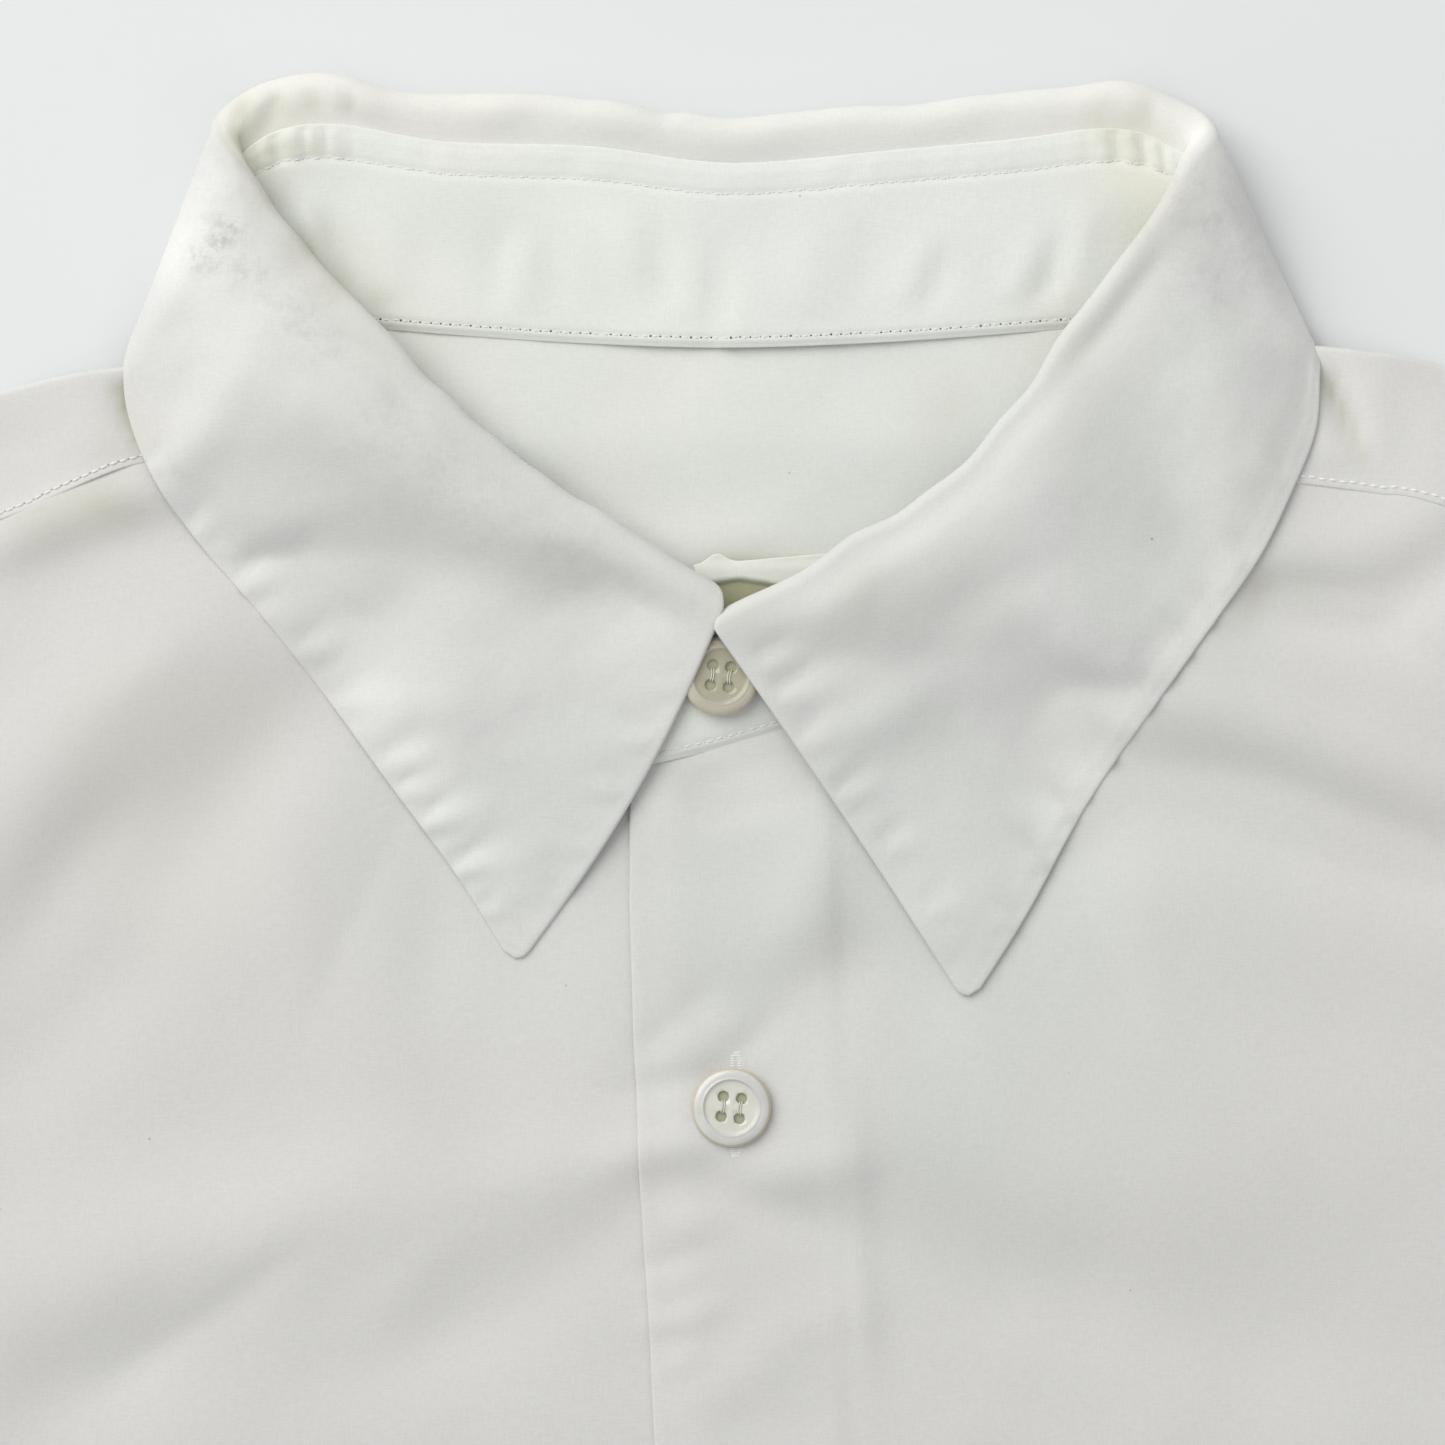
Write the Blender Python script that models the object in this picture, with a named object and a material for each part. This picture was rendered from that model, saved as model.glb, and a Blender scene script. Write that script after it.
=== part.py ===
"""A white long-sleeved shirt with a pointed collar, buttoned, laid on its back with its sleeves out."""

import math

import bpy
import numpy as np

# Driving dimensions, in millimetres. X runs across the shirt, Y up to the collar, Z up from the table.
MM = 0.001
CENTRE_Y = -285.0  # the middle of the laid shirt, measured from the front corner of the collar
CLOTH = 1.2
COLLAR_CLOTH = 1.4
CUFF_CLOTH = 1.6
LABEL_CLOTH = 1.0
GAP = 0.3
LAYER = CLOTH + GAP
LEAF_UNDER = 0.7  # middle of the collar leaf's hidden part, which lies on the table
SHOULDER_X = 222.0
YOKE_BACK_Y = -28.0
UNDERARM = (256.0, -200.0)
HEM_SIDE = (268.0, -610.0)
HEM_FRONT_Y = -668.0
HEM_BACK_Y = -680.0
OVERLAP_EDGE = -15.4  # edge of the front that lies on top
UNDERLAP_EDGE = 19.0
BUTTON_D = 13.5
BUTTON_T = 2.4
SMALL_BUTTON_D = 11.0
BUTTON_SIDES = 16
HOLE_D = 1.9
HOLE_PITCH = (3.1, 3.4)
NECK_BUTTON = (-0.3, 7.9)
FRONT_BUTTONS_Y = (-65.3, -151.0, -237.0, -323.0, -409.0, -495.0)
CUFF_LENGTH = 65.0
CUFF_WIDTH = 116.0
PLACKET_LENGTH = 150.0
PLACKET_WIDTH = 25.0
PLACKET_INSET = 15.0
LABEL_SIZE = (40.0, 18.0)
LABEL_CENTRE = (16.0, 19.5)
LABEL_TILT = 5.0

WHITE = (0.80, 0.81, 0.79)
PEARL = (0.78, 0.76, 0.70)

# Sections across the collar, from the left front corner round the back to the right one:
# neck seam (x, y), crest (x, y), outer edge (x, y), turn of the fall in degrees
# (90 over the front, 0 sideways, -90 under the back), height of the stand's top edge, radius of the roll
COLLAR = (
    (-10.0, -6.0, -1.5, 21.0, -35.3, -39.5, 90, 4.0, 3.15),
    (-26.0, -2.5, -12.3, 30.2, -45.0, -26.0, 90, 4.8, 2.75),
    (-41.0, 5.0, -22.5, 36.3, -56.0, -11.0, 90, 6.0, 2.1),
    (-57.0, 17.0, -34.5, 44.6, -66.5, 3.4, 90, 7.2, 1.6),
    (-72.0, 30.0, -46.5, 54.8, -77.5, 17.5, 90, 8.0, 1.5),
    (-82.0, 43.0, -58.5, 67.0, -87.5, 29.0, 90, 8.6, 1.5),
    (-86.0, 51.0, -68.0, 77.0, -95.2, 39.5, 90, 8.9, 1.6),
    (-86.5, 58.0, -75.5, 86.5, -99.8, 49.0, 84, 9.8, 1.5),
    (-85.5, 63.5, -80.3, 94.5, -102.2, 57.5, 60, 10.4, 1.6),
    (-81.5, 67.0, -82.2, 101.5, -103.4, 65.0, 0, 8.8, 2.2),
    (-75.5, 68.3, -77.3, 107.6, -97.5, 62.0, -60, 7.6, 2.8),
    (-66.0, 68.0, -66.0, 109.4, -84.0, 59.0, -86, 7.3, 3.3),
    (-47.0, 66.5, -47.0, 106.4, -58.0, 57.5, -90, 7.0, 3.15),
    (-24.0, 65.0, -22.0, 105.6, -27.0, 56.5, -90, 6.9, 3.1),
    (0.0, 64.2, 1.5, 102.8, 2.0, 56.0, -90, 6.8, 3.05),
    (25.0, 65.0, 28.0, 104.8, 33.0, 56.5, -90, 6.9, 3.1),
    (47.0, 66.5, 50.0, 106.8, 60.0, 57.5, -90, 7.0, 3.15),
    (66.0, 68.0, 66.0, 108.7, 84.0, 59.0, -86, 7.3, 3.3),
    (75.5, 68.3, 74.8, 106.2, 97.5, 62.0, -60, 7.6, 2.8),
    (81.5, 67.0, 79.4, 101.0, 103.4, 65.0, 0, 8.8, 2.2),
    (85.5, 63.5, 76.9, 93.9, 102.2, 57.5, 60, 10.4, 1.6),
    (86.5, 58.0, 72.7, 85.4, 100.6, 49.5, 84, 9.8, 1.5),
    (86.0, 51.0, 66.5, 76.8, 96.9, 40.0, 90, 8.9, 1.6),
    (82.0, 43.0, 58.5, 66.0, 91.0, 28.0, 90, 8.6, 1.5),
    (72.0, 29.5, 49.5, 53.5, 82.0, 15.2, 90, 8.0, 1.5),
    (56.0, 16.0, 37.8, 40.8, 72.0, 1.2, 90, 7.4, 1.6),
    (36.5, 6.5, 25.0, 32.6, 61.5, -14.5, 90, 6.8, 1.8),
    (14.5, 0.3, 12.0, 24.6, 51.5, -32.5, 90, 6.4, 2.0),
    (-1.0, -4.2, -0.5, 16.8, 41.7, -45.8, 90, 6.2, 2.05),
)
RISE_FRONT = 4.0
RISE_BACK = 8.0
CORNER_GAP = 3.0  # the stand stays this much shorter at its two tight corners

# The stand's two buttoned ends: neck seam (x, y), top edge (x, y), height of each
STAND_UNDER_END = (
    (15.0, 1.6, 15.4, 12.5, 3.8, 3.8),
    (5.0, -2.4, 6.5, 16.4, 3.7, 3.9),
)
STAND_OVER_END = (
    (-8.0, -5.9, -8.6, 12.6, 5.7, 5.9),
    (-14.4, -7.2, -14.0, 6.0, 5.8, 5.8),
)

# Fold along each shoulder and seam of the yoke on each front: (x, y) going out from the neck
SHOULDER_LEFT = ((83.0, 64.6), (101.0, 60.6), (110.0, 59.4), (123.0, 56.3), (170.0, 43.5),
                 (222.0, 27.5))
SHOULDER_RIGHT = ((83.0, 64.6), (101.0, 60.9), (110.0, 60.8), (123.0, 59.4), (170.0, 46.5),
                  (222.0, 28.5))
YOKE_LEFT = ((82.0, 43.0), (90.0, 44.6), (100.0, 45.0), (114.0, 39.5), (123.0, 35.5), (170.0, 18.0),
             (221.0, 2.0))
YOKE_RIGHT = ((82.0, 43.0), (90.0, 42.6), (100.0, 41.6), (112.0, 40.0), (123.0, 38.0), (170.0, 22.5),
              (221.0, 4.0))
# Armhole seam, from the shoulder to the underarm: (x, y). Every piece that meets there follows these corners
ARMHOLE = ((222.0, 28.0), (219.5, 4.0), (216.5, -28.0), (216.0, -62.0), (219.0, -98.0),
           (227.0, -134.0), (240.0, -168.0), (256.0, -200.0))

# Soft folds of the upper layer: x, y, direction in degrees, half-length, half-width, height
FOLDS = (
    (-112.0, 4.0, 42, 34, 10, 2.8),
    (-86.0, -24.0, 52, 24, 9, 2.0),
    (-98.0, -112.0, 22, 48, 11, 3.4),
    (-48.0, -100.0, 30, 26, 9, 1.8),
    (118.0, 14.0, -6, 28, 9, 2.4),
    (104.0, -24.0, -20, 36, 11, 3.0),
    (66.0, -97.0, -8, 40, 11, 1.8),
    (-165.0, -60.0, 62, 50, 16, 4.0),
    (172.0, -70.0, -58, 52, 16, 4.2),
    (-190.0, -170.0, 35, 55, 18, 5.0),
    (196.0, -185.0, -28, 55, 18, 4.6),
    (-120.0, -215.0, 14, 80, 18, 3.8),
    (128.0, -250.0, -16, 85, 18, 4.2),
    (-160.0, -330.0, -10, 75, 20, 4.4),
    (150.0, -370.0, 12, 80, 20, 4.0),
    (-110.0, -440.0, 20, 80, 20, 4.0),
    (165.0, -480.0, -22, 70, 20, 4.4),
    (-175.0, -540.0, 78, 60, 20, 3.6),
    (110.0, -570.0, 84, 62, 20, 3.4),
)
# Folds of a sleeve: distance along it (0 to 1), across it (0 outer to 1 inner), direction from the
# sleeve's length in degrees, half-length, half-width, height
SLEEVE_FOLDS = (
    (0.16, 0.62, 28, 60, 17, 6.0),
    (0.34, 0.34, -22, 62, 16, 5.0),
    (0.52, 0.60, 62, 44, 14, 6.0),
    (0.62, 0.38, -58, 42, 14, 5.0),
    (0.80, 0.66, 12, 56, 13, 4.4),
    (0.88, 0.36, -8, 46, 12, 3.8),
)
# Folds of a sleeve, from the shoulder and from the underarm down to the cuff: (x, y)
SLEEVE_OUTER = ((222.6, 28.0), (250.8, 17.7), (287.5, -1.1), (327.9, -33.7), (369.6, -77.1),
                (416.2, -135.9), (468.0, -210.0), (518.9, -284.7), (564.2, -351.1), (595.4, -396.1))
SLEEVE_INNER = ((256.6, -200.0), (295.7, -243.5), (347.0, -298.4), (401.9, -356.8),
                (456.4, -415.5), (506.6, -470.6))
SLEEVE_MIDDLE = 470.0  # length of a sleeve halfway between its two folds

NECK_COLUMNS = 9  # of a front, along the neck
FRONT_ROWS = (12, 14)  # beside the armhole (two for each corner of it), below it
YOKE_COLUMNS = (8, 7)  # half of the back neck, one shoulder
YOKE_ROWS = (5, 3, 3)  # back, roll over the shoulder, front
BACK_CELLS = (10, 8)  # across, below the armhole
LEAF_STEP = 0.6  # sections of the collar walls for each row of the table
SLEEVE_CELLS = (7, 2, 16)  # across a layer, round a fold, along


def smooth(a, b, x):
    """0 at a and before, 1 at b and beyond, with a soft change between them."""
    t = np.clip((np.asarray(x, float) - a) / (b - a), 0.0, 1.0)
    return t * t * (3.0 - 2.0 * t)


def through(rows, at):
    """Rows of numbers joined by a smooth curve and read at places counted in rows from 0."""
    rows = np.asarray(rows, float)
    at = np.asarray(at, float)
    slope = np.gradient(rows, axis=0)
    k = np.clip(at.astype(int), 0, len(rows) - 2)
    t = (at - k)[:, None]
    p, q, m, n = rows[k], rows[k + 1], slope[k], slope[k + 1]
    return p + t * m + t * t * (3 * (q - p) - 2 * m - n) + t**3 * (2 * (p - q) + m + n)


def along(points, count):
    """Count + 1 points at even distances on the smooth curve through the given ones."""
    points = np.asarray(points, float)
    fine = through(points, np.linspace(0, len(points) - 1, 24 * len(points)))
    run = np.concatenate([[0], np.cumsum(np.linalg.norm(np.diff(fine, axis=0), axis=1))])
    at = np.linspace(0, run[-1], count + 1)
    return np.stack([np.interp(at, run, fine[:, k]) for k in range(points.shape[1])], axis=1)


def height_on(points, x):
    """Y of a line given as (x, y) points."""
    fine = along(points, 200)
    return np.interp(x, fine[:, 0], fine[:, 1])


def coons(top, bottom, left, right):
    """A grid of plan points between four edges that meet at their corners."""
    rows, columns = len(left), len(top)
    v = np.linspace(0, 1, rows)[:, None, None]
    u = np.linspace(0, 1, columns)[None, :, None]
    across = (1 - v) * top[None] + v * bottom[None]
    down = (1 - u) * left[:, None] + u * right[:, None]
    corners = (1 - v) * ((1 - u) * top[0] + u * top[-1]) + v * ((1 - u) * bottom[0] + u * bottom[-1])
    return across + down - corners


def over_leaf(x, y):
    """1 where the yoke lies on the hidden part of the collar leaf, 0 away from it."""
    return smooth(125, 107, np.abs(x)) * smooth(34, 50, y)


def lower_height(x, y):
    return CLOTH / 2 + 1.7 * over_leaf(x, y)


def fold_height(x, y):
    """The soft folds of the fronts, which fade out at the seams, the button band and the collar."""
    total = np.zeros(np.broadcast(x, y).shape)
    for cx, cy, angle, long, wide, high in FOLDS:
        c, s = math.cos(math.radians(angle)), math.sin(math.radians(angle))
        along_fold = ((x - cx) * c + (y - cy) * s) / long
        off_fold = ((y - cy) * c - (x - cx) * s) / wide
        total = total + high * np.exp(-(along_fold**2) - off_fold**2)
    band = smooth(24, 50, np.abs(x))
    side = smooth(0, 40, np.interp(y, [-610, -200, -100, 30], [268, 256, 216, 222]) - np.abs(x))
    top = smooth(40, 12, y)
    hem = smooth(-655, -610, y)
    collar = smooth(66, 100, np.hypot(x, y - 40))
    return total * band * side * top * hem * collar


def upper_height(x, y):
    return lower_height(x, y) + LAYER + fold_height(x, y)


def front_over_height(x, y):
    return upper_height(x, y) + LAYER * smooth(70, 24, x)


def material(name, colour, roughness):
    made = bpy.data.materials.new(name)
    made.use_nodes = True
    shader = made.node_tree.nodes["Principled BSDF"]
    shader.inputs["Base Color"].default_value = (*colour, 1)
    shader.inputs["Roughness"].default_value = roughness
    shader.inputs["Metallic"].default_value = 0.0
    return made


def wall(name, grid, thickness, closed=False, keep=None, colour=WHITE):
    """A sheet of cloth round the middle surface that the grid gives, in millimetres."""
    rows, columns = grid.shape[:2]
    spans = columns if closed else columns - 1
    faces = []
    for i in range(rows - 1):
        for j in range(spans):
            if keep is None or keep[i, j]:
                k = (j + 1) % columns
                below = (i + 1) * columns
                faces.append((i * columns + j, i * columns + k, below + k, below + j))
    used = sorted({corner for face in faces for corner in face})
    place = {corner: n for n, corner in enumerate(used)}
    points = (grid.reshape(-1, 3)[used] - [0, CENTRE_Y, 0]) * MM
    mesh = bpy.data.meshes.new(name)
    mesh.from_pydata(points.tolist(), [], [tuple(place[c] for c in face) for face in faces])
    mesh.shade_smooth()
    piece = bpy.data.objects.new(name, mesh)
    bpy.context.scene.collection.objects.link(piece)
    solid = piece.modifiers.new("wall", "SOLIDIFY")
    solid.thickness = thickness * MM
    solid.offset = 0.0
    piece.data.materials.append(material(name, colour, 0.85))
    return piece


def with_height(plan, height):
    return np.dstack([plan, np.broadcast_to(height, plan.shape[:2])])


def collar_sections():
    """Sections at an even step, with the stand's edges and heights worked out for each."""
    steps = int((len(COLLAR) - 1) / LEAF_STEP)
    rows = through(COLLAR, np.linspace(0, len(COLLAR) - 1, steps + 1))
    neck, crest, edge = rows[:, 0:2], rows[:, 2:4], rows[:, 4:6]
    turn, top_z, roll = np.radians(rows[:, 6]), rows[:, 7], rows[:, 8]
    out = crest - neck
    out /= np.linalg.norm(out, axis=1)[:, None]
    rise = RISE_FRONT + (RISE_BACK - RISE_FRONT) * smooth(60, -60, rows[:, 6])
    root = crest - out * rise[:, None]
    return neck, root, crest, edge, out, turn, top_z, roll


def neck_height(neck, over):
    """Middle of the stand's lower edge, lying on the cloth below it."""
    front = front_over_height(neck[:, 0], neck[:, 1]) if over else upper_height(neck[:, 0], neck[:, 1])
    back = lower_height(neck[:, 0], neck[:, 1])
    behind = smooth(60, 68, neck[:, 1])
    return front + (back - front) * behind + CLOTH / 2 + GAP + COLLAR_CLOTH / 2


def stand_grid():
    neck, root, _, _, out, turn, top_z, _ = collar_sections()
    root = root - out * (CORNER_GAP * np.clip(np.cos(turn), 0, 1) ** 0.5)[:, None]
    middle = len(neck) // 2
    low = np.concatenate([neck_height(neck[:middle], False), neck_height(neck[middle:], True)])
    low[-1] = 5.6
    low[-2] = 5.5
    rows = [(*n, z, *r, t) for n, z, r, t in zip(neck, low, root, top_z)]
    under = [(x, y, a, u, v, b) for x, y, u, v, a, b in STAND_UNDER_END]
    over = [(x, y, a, u, v, b) for x, y, u, v, a, b in STAND_OVER_END]
    rows = np.array(under + rows + over)
    t = np.linspace(0, 1, 5)[None, :, None]
    return rows[:, None, :3] * (1 - t) + rows[:, None, 3:] * t


def leaf_grid():
    """From the stand's top edge over the crest and down to the outer edge, section by section."""
    neck, root, crest, edge, out, turn, top_z, roll = collar_sections()
    grid = []
    for i in range(len(neck)):
        d = np.array([*out[i], 0.0])
        side = np.array([d[1], -d[0], 0.0]) if edge[i][0] > 0 else np.array([-d[1], d[0], 0.0])
        w = math.cos(turn[i]) * side + math.sin(turn[i]) * np.array([0.0, 0.0, 1.0])
        start = np.array([*root[i], top_z[i]]) + GAP * d
        centre = np.array([*crest[i], top_z[i]]) - roll[i] * d + roll[i] * w
        line = [start]
        for angle in np.linspace(0, math.pi, 6):
            line.append(centre + roll[i] * (math.sin(angle) * d - math.cos(angle) * w))
        bend = line[-1]
        x, y = edge[i]
        on_top = front_over_height(x, y) + CLOTH / 2 + GAP + COLLAR_CLOTH / 2 + 0.4
        above = float(smooth(0, 60, math.degrees(turn[i])))
        below = float(smooth(0, -60, math.degrees(turn[i])))
        end_z = above * on_top + below * LEAF_UNDER + (1 - above - below) * 3.0
        for t in (0.17, 0.34, 0.52, 0.68, 0.84, 1.0):
            place = bend[:2] + (np.array([x, y]) - bend[:2]) * t
            fall = smooth(0, 1, t) if below > 0.5 else t**1.6
            z = bend[2] + (end_z - bend[2]) * float(fall)
            line.append(np.array([*place, z]))
        grid.append(line)
    return np.array(grid)


def yoke_grid():
    """Back yoke, roll over both shoulders and the yoke's front ends, as one masked grid."""
    neck_n, shoulder_n = YOKE_COLUMNS
    back_n, roll_n, front_n = YOKE_ROWS
    inner = np.linspace(0, 82, neck_n + 1)
    outer = np.linspace(82, SHOULDER_X, shoulder_n + 1)[1:]
    half = np.concatenate([inner, outer])
    xs = np.concatenate([-half[:0:-1], half])
    neck = [row[:2] for row in COLLAR if row[1] > 66.9 or abs(row[0]) < 50 and row[1] > 60]
    neck = np.array(sorted(neck, key=lambda p: p[0]))
    grid = np.zeros((back_n + roll_n + front_n + 1, len(xs), 3))
    keep = np.ones((back_n + roll_n + front_n, len(xs) - 1), bool)
    for j, x in enumerate(xs):
        a = abs(x)
        shoulder = height_on(SHOULDER_LEFT if x < 0 else SHOULDER_RIGHT, a)
        seam = height_on(YOKE_LEFT if x < 0 else YOKE_RIGHT, a)
        top = shoulder if a >= 82 else np.interp(x, neck[:, 0], neck[:, 1]) - GAP
        path = []
        for t in np.linspace(0, 1, back_n + 1) ** 0.8:
            y = YOKE_BACK_Y + (top - 0.75 * (a >= 82) - YOKE_BACK_Y) * t
            path.append((y, lower_height(x, y)))
        y, low = path[-1]
        for angle in np.linspace(0, math.pi, roll_n + 1)[1:]:
            path.append((y + 0.75 * math.sin(angle), low + 0.75 - 0.75 * math.cos(angle)))
        for t in np.linspace(0, 1, front_n + 1)[1:]:
            yy = y + (seam + GAP - y) * t
            path.append((yy, upper_height(x, yy) if t > 0.5 else lower_height(x, yy) + LAYER))
        for i, (yy, z) in enumerate(path):
            shift = (armhole_x(yy) - SHOULDER_X) * smooth(110, SHOULDER_X, a)
            grid[i, j] = (math.copysign(a + shift, x) if x else 0.0, yy, z)
    for j in range(len(xs) - 1):
        if max(abs(xs[j]), abs(xs[j + 1])) <= 82.001:
            keep[back_n:, j] = False
    return grid, keep


def armhole_x(y):
    return float(np.interp(-y, [-p[1] for p in ARMHOLE], [p[0] for p in ARMHOLE]))


def side_edge(start_y, each, below, sign):
    """Armhole seam from a height down to the underarm, then the side seam down to the hem."""
    corners = [(armhole_x(start_y), start_y)] + [p for p in ARMHOLE if p[1] < start_y - 1]
    line = [corners[0]]
    for (x0, y0), (x1, y1) in zip(corners, corners[1:]):
        for k in range(1, each + 1):
            line.append((x0 + (x1 - x0) * k / each, y0 + (y1 - y0) * k / each))
    side = along((UNDERARM, (256.0, -300.0), (256.0, -400.0), (261.0, -510.0), HEM_SIDE), below)
    return np.concatenate([line, side[1:]]) * [sign, 1]


def front_neck(sign):
    """Neck edge of a front, from the button band to the end of the yoke seam."""
    if sign < 0:
        points = [(UNDERLAP_EDGE, -1.4), (5.0, -4.0), (-4.0, -5.6)]
        points += [row[:2] for row in COLLAR[:6]]
    else:
        points = [(OVERLAP_EDGE, -7.6), (-8.0, -6.0)]
        points += [row[:2] for row in COLLAR[-6:]][::-1]
    return points


def hem(sign, edge_x, columns, middle_y):
    points = [(edge_x, middle_y), (sign * 90.0, middle_y + 1.0), (sign * 180.0, middle_y + 12.0),
              (sign * 232.0, -632.0), (sign * HEM_SIDE[0], HEM_SIDE[1])]
    return along(points, columns)


def front_grid(sign):
    neck = along(front_neck(sign), NECK_COLUMNS)
    points = YOKE_LEFT if sign < 0 else YOKE_RIGHT
    seam = [(sign * x, height_on(points, x)) for x in np.linspace(82, SHOULDER_X, YOKE_COLUMNS[1] + 1)]
    seam = np.array(seam)
    right = side_edge(seam[-1][1] - GAP, 2, FRONT_ROWS[1], sign)
    top = np.concatenate([neck, seam[1:] - [0, GAP]])
    top[-1] = right[0]
    edge_x = UNDERLAP_EDGE if sign < 0 else OVERLAP_EDGE
    bottom = hem(sign, edge_x, len(top) - 1, HEM_FRONT_Y)
    fine = np.concatenate([np.linspace(0, 135, FRONT_ROWS[0] + 1),
                           np.linspace(135, -HEM_FRONT_Y, FRONT_ROWS[1] + 1)[1:]])
    left = np.stack([np.full(len(fine), edge_x), -fine], axis=1)
    left[:, 1] = top[0][1] + (HEM_FRONT_Y - top[0][1]) * fine / -HEM_FRONT_Y
    plan = coons(top, bottom, left, right)
    rule = upper_height if sign < 0 else front_over_height
    return with_height(plan, rule(plan[..., 0], plan[..., 1]))


def back_grid():
    across, below = BACK_CELLS
    left, right = (side_edge(YOKE_BACK_Y - GAP, 1, below, sign) for sign in (-1, 1))
    top = np.linspace(left[0], right[0], across + 1)
    low = hem(1, 0.0, across // 2, HEM_BACK_Y)
    bottom = np.concatenate([(low * [-1, 1])[::-1], low[1:]])
    plan = coons(top, bottom, left, right)
    return with_height(plan, CLOTH / 2)


def sleeve_plan(v, t, sign):
    """Plan point of a sleeve at a share v of its length and t across it, outer fold to inner fold."""
    steps = 200
    outer, inner = along(SLEEVE_OUTER, steps), along(SLEEVE_INNER, steps)
    arm = np.array(ARMHOLE) + [2 * GAP, 0.0]

    def read(line, at):
        places = np.linspace(0, 1, len(line))
        return np.stack([np.interp(at, places, line[:, k]) for k in (0, 1)], axis=-1)

    o, i = read(outer, v), read(inner, v)
    t1, v1 = np.asarray(t)[..., None], np.asarray(v)[..., None]
    start = read(arm, t) - ((1 - t1) * arm[0] + t1 * arm[-1])
    plan = (1 - t1) * o + t1 * i + (1 - v1) * start
    return plan * [sign, 1]


def sleeve_fold(v, t):
    total = np.zeros(np.broadcast(v, t).shape)
    length, width = 560.0, 165.0
    for cv, ct, angle, long, wide, high in SLEEVE_FOLDS:
        c, s = math.cos(math.radians(angle)), math.sin(math.radians(angle))
        a, b = (v - cv) * length, (t - ct) * width
        total = total + high * np.exp(-(((a * c + b * s) / long) ** 2) - ((b * c - a * s) / wide) ** 2)
    return total * smooth(0, 0.22, t) * smooth(1, 0.78, t) * smooth(0, 0.12, v) * smooth(1, 0.95, v)


def sleeve_grid(sign):
    across, turn, length = SLEEVE_CELLS
    low, high = CLOTH / 2, CLOTH / 2 + LAYER
    radius = LAYER / 2
    grid = []
    for v in np.linspace(0, 1, length + 1):
        line = []
        ts = np.linspace(0, 1, across + 1)
        plan = sleeve_plan(np.full(across + 1, v), ts, sign)
        width = np.linalg.norm(plan[-1] - plan[0])
        inset = (plan[-1] - plan[0]) / width * radius
        base = plan.copy()
        base[0] += inset
        base[-1] -= inset
        for p in base:
            line.append((*p, low))
        for angle in np.linspace(0, math.pi, turn + 1)[1:-1]:
            p = base[-1] + inset * math.sin(angle)
            line.append((*p, low + radius - radius * math.cos(angle)))
        lift = 1.3 * smooth(0.9, 1.0, v)
        for p, t in zip(base[::-1], ts[::-1]):
            edge = smooth(0, 0.1, t) * smooth(1, 0.9, t)
            line.append((*p, high + float(sleeve_fold(v, t)) + lift * edge))
        for angle in np.linspace(0, math.pi, turn + 1)[1:-1]:
            p = base[0] - inset * math.sin(angle)
            line.append((*p, low + radius + radius * math.cos(angle)))
        grid.append(line)
    return np.array(grid, float)


def cuff_frame(sign):
    """Corner of the cuff seam at its inner fold, the direction across the cuff and that down the arm."""
    outer = np.array(SLEEVE_OUTER[-1]) * [sign, 1]
    inner = np.array(SLEEVE_INNER[-1]) * [sign, 1]
    across = (outer - inner) / np.linalg.norm(outer - inner)
    down = np.array([across[1], -across[0]]) * sign
    return inner, across, down


def cuff_grid(sign):
    """An open band lying flat: under end, inner fold, lower layer, outer fold, over end."""
    inner, across, down = cuff_frame(sign)
    low, under, over = CUFF_CLOTH / 2, 2.7, 4.6
    path = [(38.0, under), (20.0, under)]
    r = (under - low) / 2
    for angle in np.linspace(0, math.pi, 5):
        path.append((r - r * math.sin(angle), low + r + r * math.cos(angle)))
    path += [(30.0, low), (58.0, low), (86.0, low)]
    r = (over - low) / 2
    for angle in np.linspace(0, math.pi, 5):
        path.append((CUFF_WIDTH - r + r * math.sin(angle), low + r - r * math.cos(angle)))
    path += [(86.0, over), (58.0, over), (34.0, over), (15.0, over)]
    grid = []
    for v in np.linspace(GAP, CUFF_LENGTH, 5):
        origin = inner + down * (v + CLOTH / 2)
        grid.append([(*(origin + across * a), z) for a, z in path])
    return np.array(grid)


def placket_point(up, over, sign):
    """Plan point of the sleeve placket, so far up from the cuff and so far over from the inner fold."""
    v = np.array([1.0 - up / SLEEVE_MIDDLE])
    ends = [sleeve_plan(v, np.array([t]), sign)[0] for t in (0.0, 1.0)]
    share = 1.0 - over / np.linalg.norm(ends[1] - ends[0])
    return sleeve_plan(v, np.array([share]), sign)[0]


def placket_grid(sign):
    """A strip on the sleeve's upper layer, running up from the cuff."""
    grid = []
    for up in np.linspace(2.0, PLACKET_LENGTH, 11):
        line = []
        for over in np.linspace(PLACKET_INSET, PLACKET_INSET + PLACKET_WIDTH, 4):
            p = placket_point(up, over, sign)
            line.append((p[0], p[1], sleeve_top(p, sign) + LAYER + 0.1))
        grid.append(line)
    return np.array(grid)


def sleeve_top(point, sign):
    """Greatest height of a sleeve's upper layer close to a plan point."""
    across, turn, length = SLEEVE_CELLS
    grid = SLEEVES[sign][:, across + turn:2 * across + turn + 1]
    rows = through(grid.reshape(length + 1, -1), np.linspace(0, length, 8 * length + 1))
    rows = rows.reshape(8 * length + 1, across + 1, 3).transpose(1, 0, 2)
    fine = through(rows.reshape(across + 1, -1), np.linspace(0, across, 8 * across + 1)).reshape(-1, 3)
    near = np.linalg.norm(fine[:, :2] - np.asarray(point), axis=1) < 9.0
    return float(fine[near, 2].max())


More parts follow.
